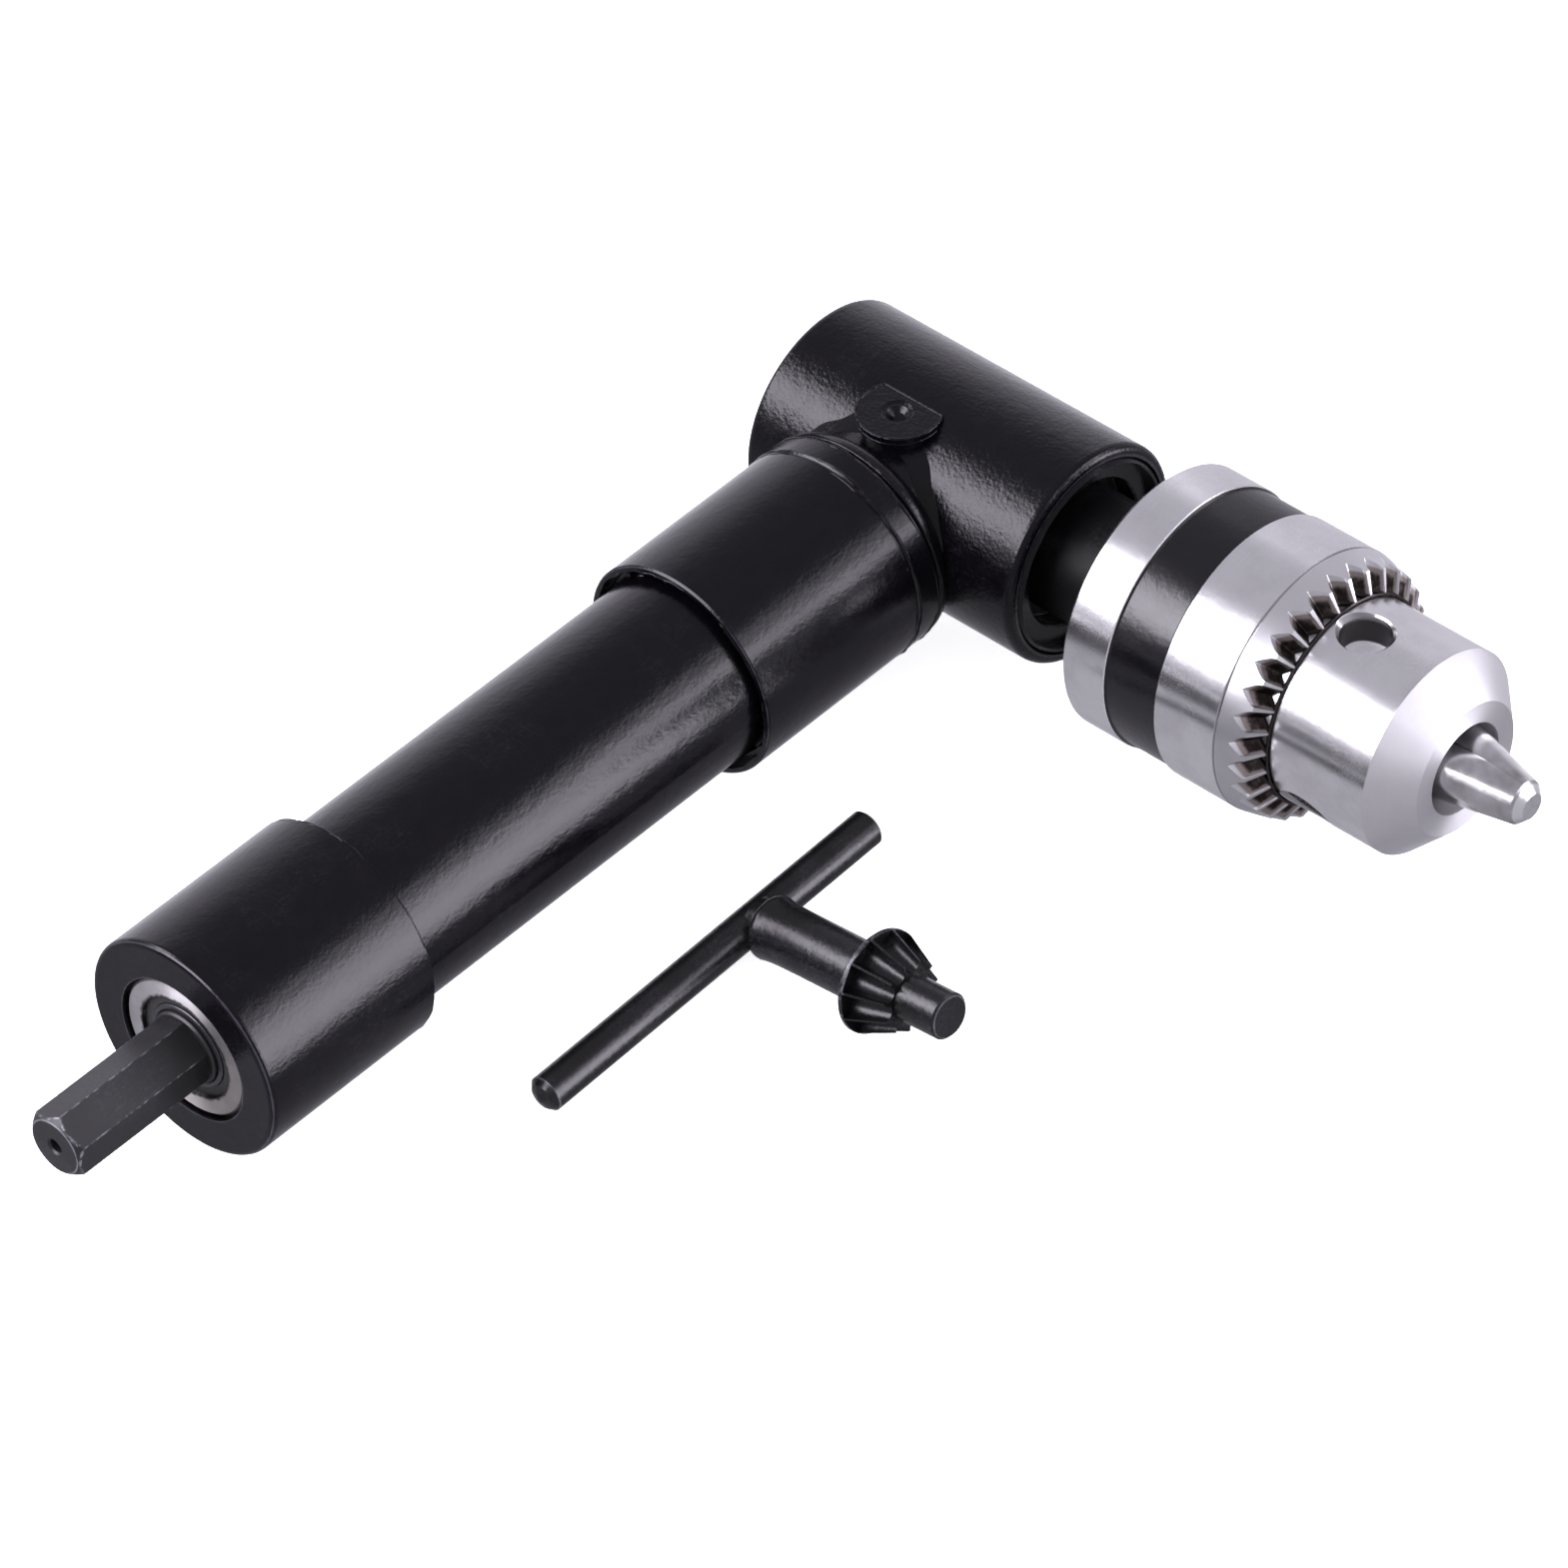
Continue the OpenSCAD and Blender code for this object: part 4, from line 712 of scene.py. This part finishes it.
def paint_bead(name, at, radius, half_wide, half_high, seed, material):
    """Run of paint round the input axis: a ring whose ellipse section swells, thins and wanders with ragged waves."""
    rng = np.random.default_rng(seed)
    angle = np.linspace(0.0, 2.0 * math.pi, 720, endpoint=False)
    wide = half_wide * np.clip(1.0 + 0.5 * ragged(rng, angle, 5, 48), 0.3, 2.0)
    high = half_high * np.clip(1.0 + 0.6 * ragged(rng, angle, 4, 60), 0.2, 2.2)
    along = at + 0.35 * half_wide * ragged(rng, angle, 3, 40)
    section = np.linspace(0.0, 2.0 * math.pi, 12, endpoint=False)[None, :]
    out = radius + high[:, None] * np.sin(section)
    points = np.stack([out * np.cos(angle)[:, None], along[:, None] + wide[:, None] * np.cos(section),
                       out * np.sin(angle)[:, None]], -1)
    return grid_piece(name, points, "housing", material)


def neck_flange(material):
    """Cast flange of the neck beside the lock ring: a rounded shoulder and a cove, turned about the input axis."""
    at, r = RING_END + 0.22 * MM, FRONT_R - 0.12 * MM
    neck_r, edge = NECK_R - 0.1 * MM, 0.3 * MM
    bend = np.linspace(0.0, 0.5 * math.pi, 7)
    back = np.stack([at + 0.0 * bend, np.linspace(neck_r, r - edge, 7)], -1)
    bend = bend[1:]
    shoulder = np.stack([at + edge * (1 - np.cos(bend)), r - edge + edge * np.sin(bend)], -1)
    face = np.stack([np.linspace(at + 0.5 * MM, at + 1.0 * MM, 3), np.linspace(r, r - 0.06 * MM, 3)], -1)
    corners = np.array([[at + 1.2 * MM, r - 0.12 * MM], [at + 2.2 * MM, r - 0.4 * MM], [at + 3.4 * MM, neck_r]])
    outline = np.concatenate([back, shoulder, face, curve_through(corners, 16)])
    angle = np.linspace(0.0, 2.0 * math.pi, 360, endpoint=False)[:, None]
    sway = 1.0 + 0.0022 * ragged(np.random.default_rng(8), angle[:, 0], 2, 24)[:, None]
    out = outline[None, :, 1] * sway
    points = np.stack([out * np.cos(angle), outline[None, :, 0] + 0.0 * angle, out * np.sin(angle)], -1)
    return grid_piece("neck_flange", points, "housing", material)


def neck_fillet(material):
    """Cast fillet where the neck (radius r, axis Y) meets the head (radius R, axis X).

    The corner runs through (r cos a, CROSS - sqrt(R^2 - (r sin a)^2), r sin a). Each section is the
    quadratic curve from a point on the neck, size short of the corner, to a point on the head, size outside it.
    """
    rng = np.random.default_rng(21)
    angle = np.linspace(0.0, 2.0 * math.pi, 480, endpoint=False)
    size = 1.5 * MM * np.clip(1.0 + 0.12 * ragged(rng, angle, 3, 26), 0.6, 1.3)
    proud = 0.03 * MM
    head = HEAD_R + proud

    def on_head(radius):
        up = np.minimum(radius * np.sin(angle), head)
        return np.stack([radius * np.cos(angle), CROSS - np.sqrt(np.maximum(head ** 2 - up ** 2, 0.0)), up], -1)

    corner, outer = on_head(NECK_R), on_head(NECK_R + size)
    inner = corner - np.stack([0.0 * size, size, 0.0 * size], -1)
    inner += proud * np.stack([np.cos(angle), 0.0 * angle, np.sin(angle)], -1)
    points = curve_through((inner[:, None], corner[:, None], outer[:, None]), 14)
    return grid_piece("neck_fillet", points, "housing", material)


def lug_rim(name, height, radius, half, seed, material):
    """Rounded paint edge round the D shaped lug: a small round section along its arc and its chord."""
    rng = np.random.default_rng(seed)
    edge = math.asin(LUG_CHORD / radius)
    arc = np.linspace(math.pi - edge, 2.0 * math.pi + edge, 260, endpoint=False)
    straight = np.linspace(1.0, -1.0, 90, endpoint=False)
    round_way = np.stack([np.cos(arc), np.sin(arc)], -1)
    path = np.concatenate([radius * round_way,
                           np.stack([radius * math.cos(edge) * straight, LUG_CHORD + 0.0 * straight], -1)])
    outward = np.concatenate([round_way, np.stack([0.0 * straight, 1.0 + 0.0 * straight], -1)])
    along = np.linspace(0.0, 2.0 * math.pi, len(path), endpoint=False)
    size = half * np.clip(1.0 + 0.16 * ragged(rng, along, 4, 50), 0.6, 1.5)
    section = np.linspace(0.0, 2.0 * math.pi, 10, endpoint=False)
    flat = path[:, None] + outward[:, None] * (size[:, None] * np.cos(section) - 0.25 * half)[..., None]
    up = height - 0.45 * half + size[:, None] * np.sin(section)
    points = np.stack([flat[..., 0], LUG_CENTRE + flat[..., 1], up], -1)
    return grid_piece(name, points, "housing", material)


def key_flare(material):
    """Flared end of the key's stem where it grips the bar: an outline turned about the stem.

    The outline is (along, radius) in the key's own frame: a flare, a rounded lip and a step down inside.
    """
    lip_x, lip_r = 2.9 * MM, 4.1 * MM
    corners = np.array([[8.0 * MM, STEM_R], [4.4 * MM, STEM_R - 0.03 * MM], [lip_x, lip_r]])
    bend = np.linspace(0.0, 0.5 * math.pi, 7)[1:]
    lip = np.stack([lip_x - 0.8 * MM * np.sin(bend), lip_r - 0.6 * MM * (1 - np.cos(bend))], -1)
    outline = np.concatenate([curve_through(corners, 14), lip, [[lip_x - 1.0 * MM, 2.2 * MM]]])
    angle = np.linspace(0.0, 2.0 * math.pi, 240, endpoint=False)[:, None]
    sway = 1.0 + 0.004 * ragged(np.random.default_rng(4), angle[:, 0], 2, 20)[:, None]
    out = outline[None, :, 1] * sway
    points = np.stack([outline[None, :, 0] + 0.0 * angle, out * np.cos(angle), out * np.sin(angle)], -1)
    placed = points @ np.array(KEY_TURN).T + np.array(KEY_JUNCTION)
    return grid_piece("key_flare", placed, "chuck_key", material)


def add_paint_details():
    """Beads, lips and fillets of the thick enamel, where the photograph shows the paint gathered."""
    paint = black_enamel("enamel_runs", [], fine=0.01 * MM, coarse=0.012 * MM, rough=0.16, stretch=1.0)
    cast = black_enamel("enamel_neck", [], fine=0.052 * MM, coarse=0.04 * MM)
    paint_bead("run_rear_collar", COLLAR_FRONT + 0.05 * MM, TUBE_R, 0.38 * MM, 0.26 * MM, 3, paint)
    paint_bead("run_recess_floor", RECESS_FLOOR - 0.1 * MM, TUBE_R + 0.1 * MM, 0.5 * MM, 0.42 * MM, 5, paint)
    paint_bead("run_recess_lip", FRONT_BACK + 0.1 * MM, FRONT_R - 0.72 * MM, 0.17 * MM, 0.15 * MM, 9, paint)
    seams = ((FRONT_END - 0.36 * MM, 11), (FRONT_END + 0.36 * MM, 12), (RING_END - 0.34 * MM, 14))
    for number, (at, seed) in enumerate(seams):
        paint_bead("run_seam_%d" % (number + 1), at, FRONT_R - 0.03 * MM, 0.15 * MM, 0.10 * MM, seed, paint)
    paint_bead("run_seam_4", RING_END + 0.6 * MM, FRONT_R - 0.14 * MM, 0.15 * MM, 0.08 * MM, 15, paint)
    paint_bead("run_collar_edge", COLLAR_FRONT - 0.14 * MM, COLLAR_R - 0.08 * MM, 0.14 * MM, 0.07 * MM, 17, paint)
    neck_flange(cast)
    neck_fillet(cast)
    lug_rim("lug_rim_top", LUG_TOP, LUG_R, 0.17 * MM, 31, paint)
    lug_rim("lug_rim_low", LUG_TOP - 0.88 * MM, LUG_R - 0.02 * MM, 0.12 * MM, 32, paint)


def place_camera():
    """Pinhole camera of the photograph: it looks back along its own azimuth and elevation, then rolls."""
    a, e, r = (math.radians(v) for v in (AZIMUTH, ELEVATION, ROLL))
    back = Vector((math.sin(a) * math.cos(e), -math.cos(a) * math.cos(e), math.sin(e)))
    level = (-back).cross(Vector((0, 0, 1))).normalized()
    rise = level.cross(-back)
    right = math.cos(r) * level + math.sin(r) * rise
    up = -math.sin(r) * level + math.cos(r) * rise
    data = bpy.data.cameras.new("photo_camera")
    data.sensor_width = SENSOR
    data.lens = FOCAL_PIXELS / FRAME_PIXELS * SENSOR
    data.clip_start, data.clip_end = 0.05, 20.0
    camera = bpy.data.objects.new("photo_camera", data)
    camera.matrix_world = Matrix.Translation(CAMERA_PLACE) @ Matrix((right, up, back)).transposed().to_4x4()
    bpy.context.scene.collection.objects.link(camera)
    bpy.context.scene.camera = camera


# The studio: the light's and the walls' faint violet tint, and the middle and reach of its lamps
LAMP_TINT, WALL_TINT = (1.0, 0.965, 1.07), (1.0, 0.97, 1.09, 1)
STUDIO_CENTRE, LAMP_REACH = Vector((0.035, 0.10, 0.0)), 1.1


def soft_box(name, azimuth, low, high, spread, radiance):
    """A rectangular light whose edges are at the elevations low and high, seen from the studio's centre."""
    a, middle, half = (math.radians(v) for v in (azimuth, (low + high) / 2, (high - low) / 2))
    way = Vector((math.cos(a) * math.cos(middle), math.sin(a) * math.cos(middle), math.sin(middle)))
    data = bpy.data.lights.new(name, "AREA")
    data.shape = "RECTANGLE"
    data.size = 2 * LAMP_REACH * math.tan(math.radians(spread) / 2)
    data.size_y = 2 * LAMP_REACH * math.tan(half)
    data.energy = radiance * math.pi * data.size * data.size_y
    data.color = LAMP_TINT
    lamp = bpy.data.objects.new(name, data)
    lamp.location = STUDIO_CENTRE + way * LAMP_REACH
    lamp.rotation_euler = way.to_track_quat("Z", "Y").to_euler()
    bpy.context.scene.collection.objects.link(lamp)


def strip_boxes(name, azimuth, spread, strips):
    """One soft box that is brighter in its middle: strips of (low, high, radiance) one above another."""
    for number, (low, high, radiance) in enumerate(strips):
        soft_box("%s_%d" % (name, number + 1), azimuth, low, high, spread, radiance)


def card(name, centre, across, upward, normal, glow):
    """A flat card that only reflections see: it sets how bright a glossy piece is from that side."""
    turn = Vector(normal).to_track_quat("Z", "Y")
    a, b = across / 2, upward / 2
    corners = [Vector(centre) + turn @ Vector(corner) for corner in ((-a, -b, 0), (a, -b, 0), (a, b, 0), (-a, b, 0))]
    mesh = bpy.data.meshes.new(name)
    mesh.from_pydata(corners, [], [(0, 1, 2, 3)])
    board = bpy.data.objects.new(name, mesh)
    material, _, shader = new_material(name)
    shader["Base Color"].default_value = (0.0, 0.0, 0.0, 1)
    shader["Specular IOR Level"].default_value = 0.0
    shader["Emission Color"].default_value = WALL_TINT
    shader["Emission Strength"].default_value = glow
    mesh.materials.append(material)
    for ray in ("camera", "diffuse", "shadow", "transmission", "volume_scatter"):
        setattr(board, "visible_" + ray, False)
    bpy.context.scene.collection.objects.link(board)


def lobe(w, way, azimuth, elevation, inner, outer):
    """1 within inner degrees of a direction and 0 past outer degrees."""
    a, e = math.radians(azimuth), math.radians(elevation)
    middle = (math.cos(a) * math.cos(e), math.sin(a) * math.cos(e), math.sin(e))
    along = w.add("ShaderNodeVectorMath", {0: way, 1: middle}, operation="DOT_PRODUCT").outputs["Value"]
    return w.soft(along, math.cos(math.radians(outer)), math.cos(math.radians(inner)))


def build_surround():
    """Studio walls: a pale backdrop behind the tool, a grey room elsewhere, and bright even light on what is matt."""
    world = bpy.data.worlds.new("studio_surround")
    world.use_nodes = True
    world.node_tree.nodes.clear()
    w = Wiring(world.node_tree)
    way = w.add("ShaderNodeTexCoord").outputs["Generated"]
    backdrop = lobe(w, way, 134.0, -8.0, 20.0, 52.0)
    underneath = lobe(w, way, 75.0, -60.0, 15.0, 50.0)
    mirrored = w.plus(0.44, w.times(backdrop, 0.74))
    mirrored = w.less(mirrored, w.times(underneath, 0.12))
    ray = w.add("ShaderNodeLightPath").outputs
    strength = w.value(ray["Is Glossy Ray"], 1.3, mirrored)
    strength = w.value(ray["Is Camera Ray"], strength, 1.0)
    glow = w.add("ShaderNodeBackground", {"Color": WALL_TINT, "Strength": strength})
    w.add("ShaderNodeOutputWorld", {"Surface": glow.outputs[0]})
    bpy.context.scene.world = world


def build_floor():
    """White floor just under the tool, which glossy pieces don't mirror."""
    bpy.ops.mesh.primitive_plane_add(size=8.0, location=(0, 0, BENCH - 0.02 * MM))
    floor = bpy.context.object
    floor.name = "floor"
    floor.visible_glossy = False
    material, _, shader = new_material("white_floor")
    shader["Base Color"].default_value = (0.93, 0.93, 0.935, 1)
    shader["Roughness"].default_value = 0.9
    shader["Specular IOR Level"].default_value = 0.1
    shader["Emission Color"].default_value = (1, 1, 1, 1)
    shader["Emission Strength"].default_value = 0.78
    floor.data.materials.append(material)


def build_studio():
    """Floor, two soft boxes where the photograph's highlights mirror them, cards and the surround."""
    build_floor()
    strip_boxes("box_right", 31.0, 50.0, ((-14.0, -3.0, 7.0), (-3.0, 13.0, 9.4), (13.0, 26.0, 7.8), (26.0, 38.0, 2.5)))
    strip_boxes("box_front_left", -128.0, 60.0, ((20.0, 27.0, 10.2), (27.0, 39.0, 11.6), (39.0, 50.0, 9.0)))
    card("card_before_chuck", (-0.140, -0.200, 0.0), 0.10, 0.10, (0.5, 0.85, 0.0), 0.0)
    card("card_beside_chuck", (-0.004, 0.264, 0.018), 0.068, 0.170, (0.0, -1.0, 0.0), 0.60)
    card("card_over_nose", (0.0935, 0.1595, 0.0215), 0.036, 0.024, (-0.762, -0.372, -0.530), 0.50)
    build_surround()
    bpy.context.scene.view_settings.view_transform = "Standard"


place_camera()
build_studio()
dress_cad_nodes()
add_paint_details()
key_flare(nodes["key_stem"].data.materials[0])
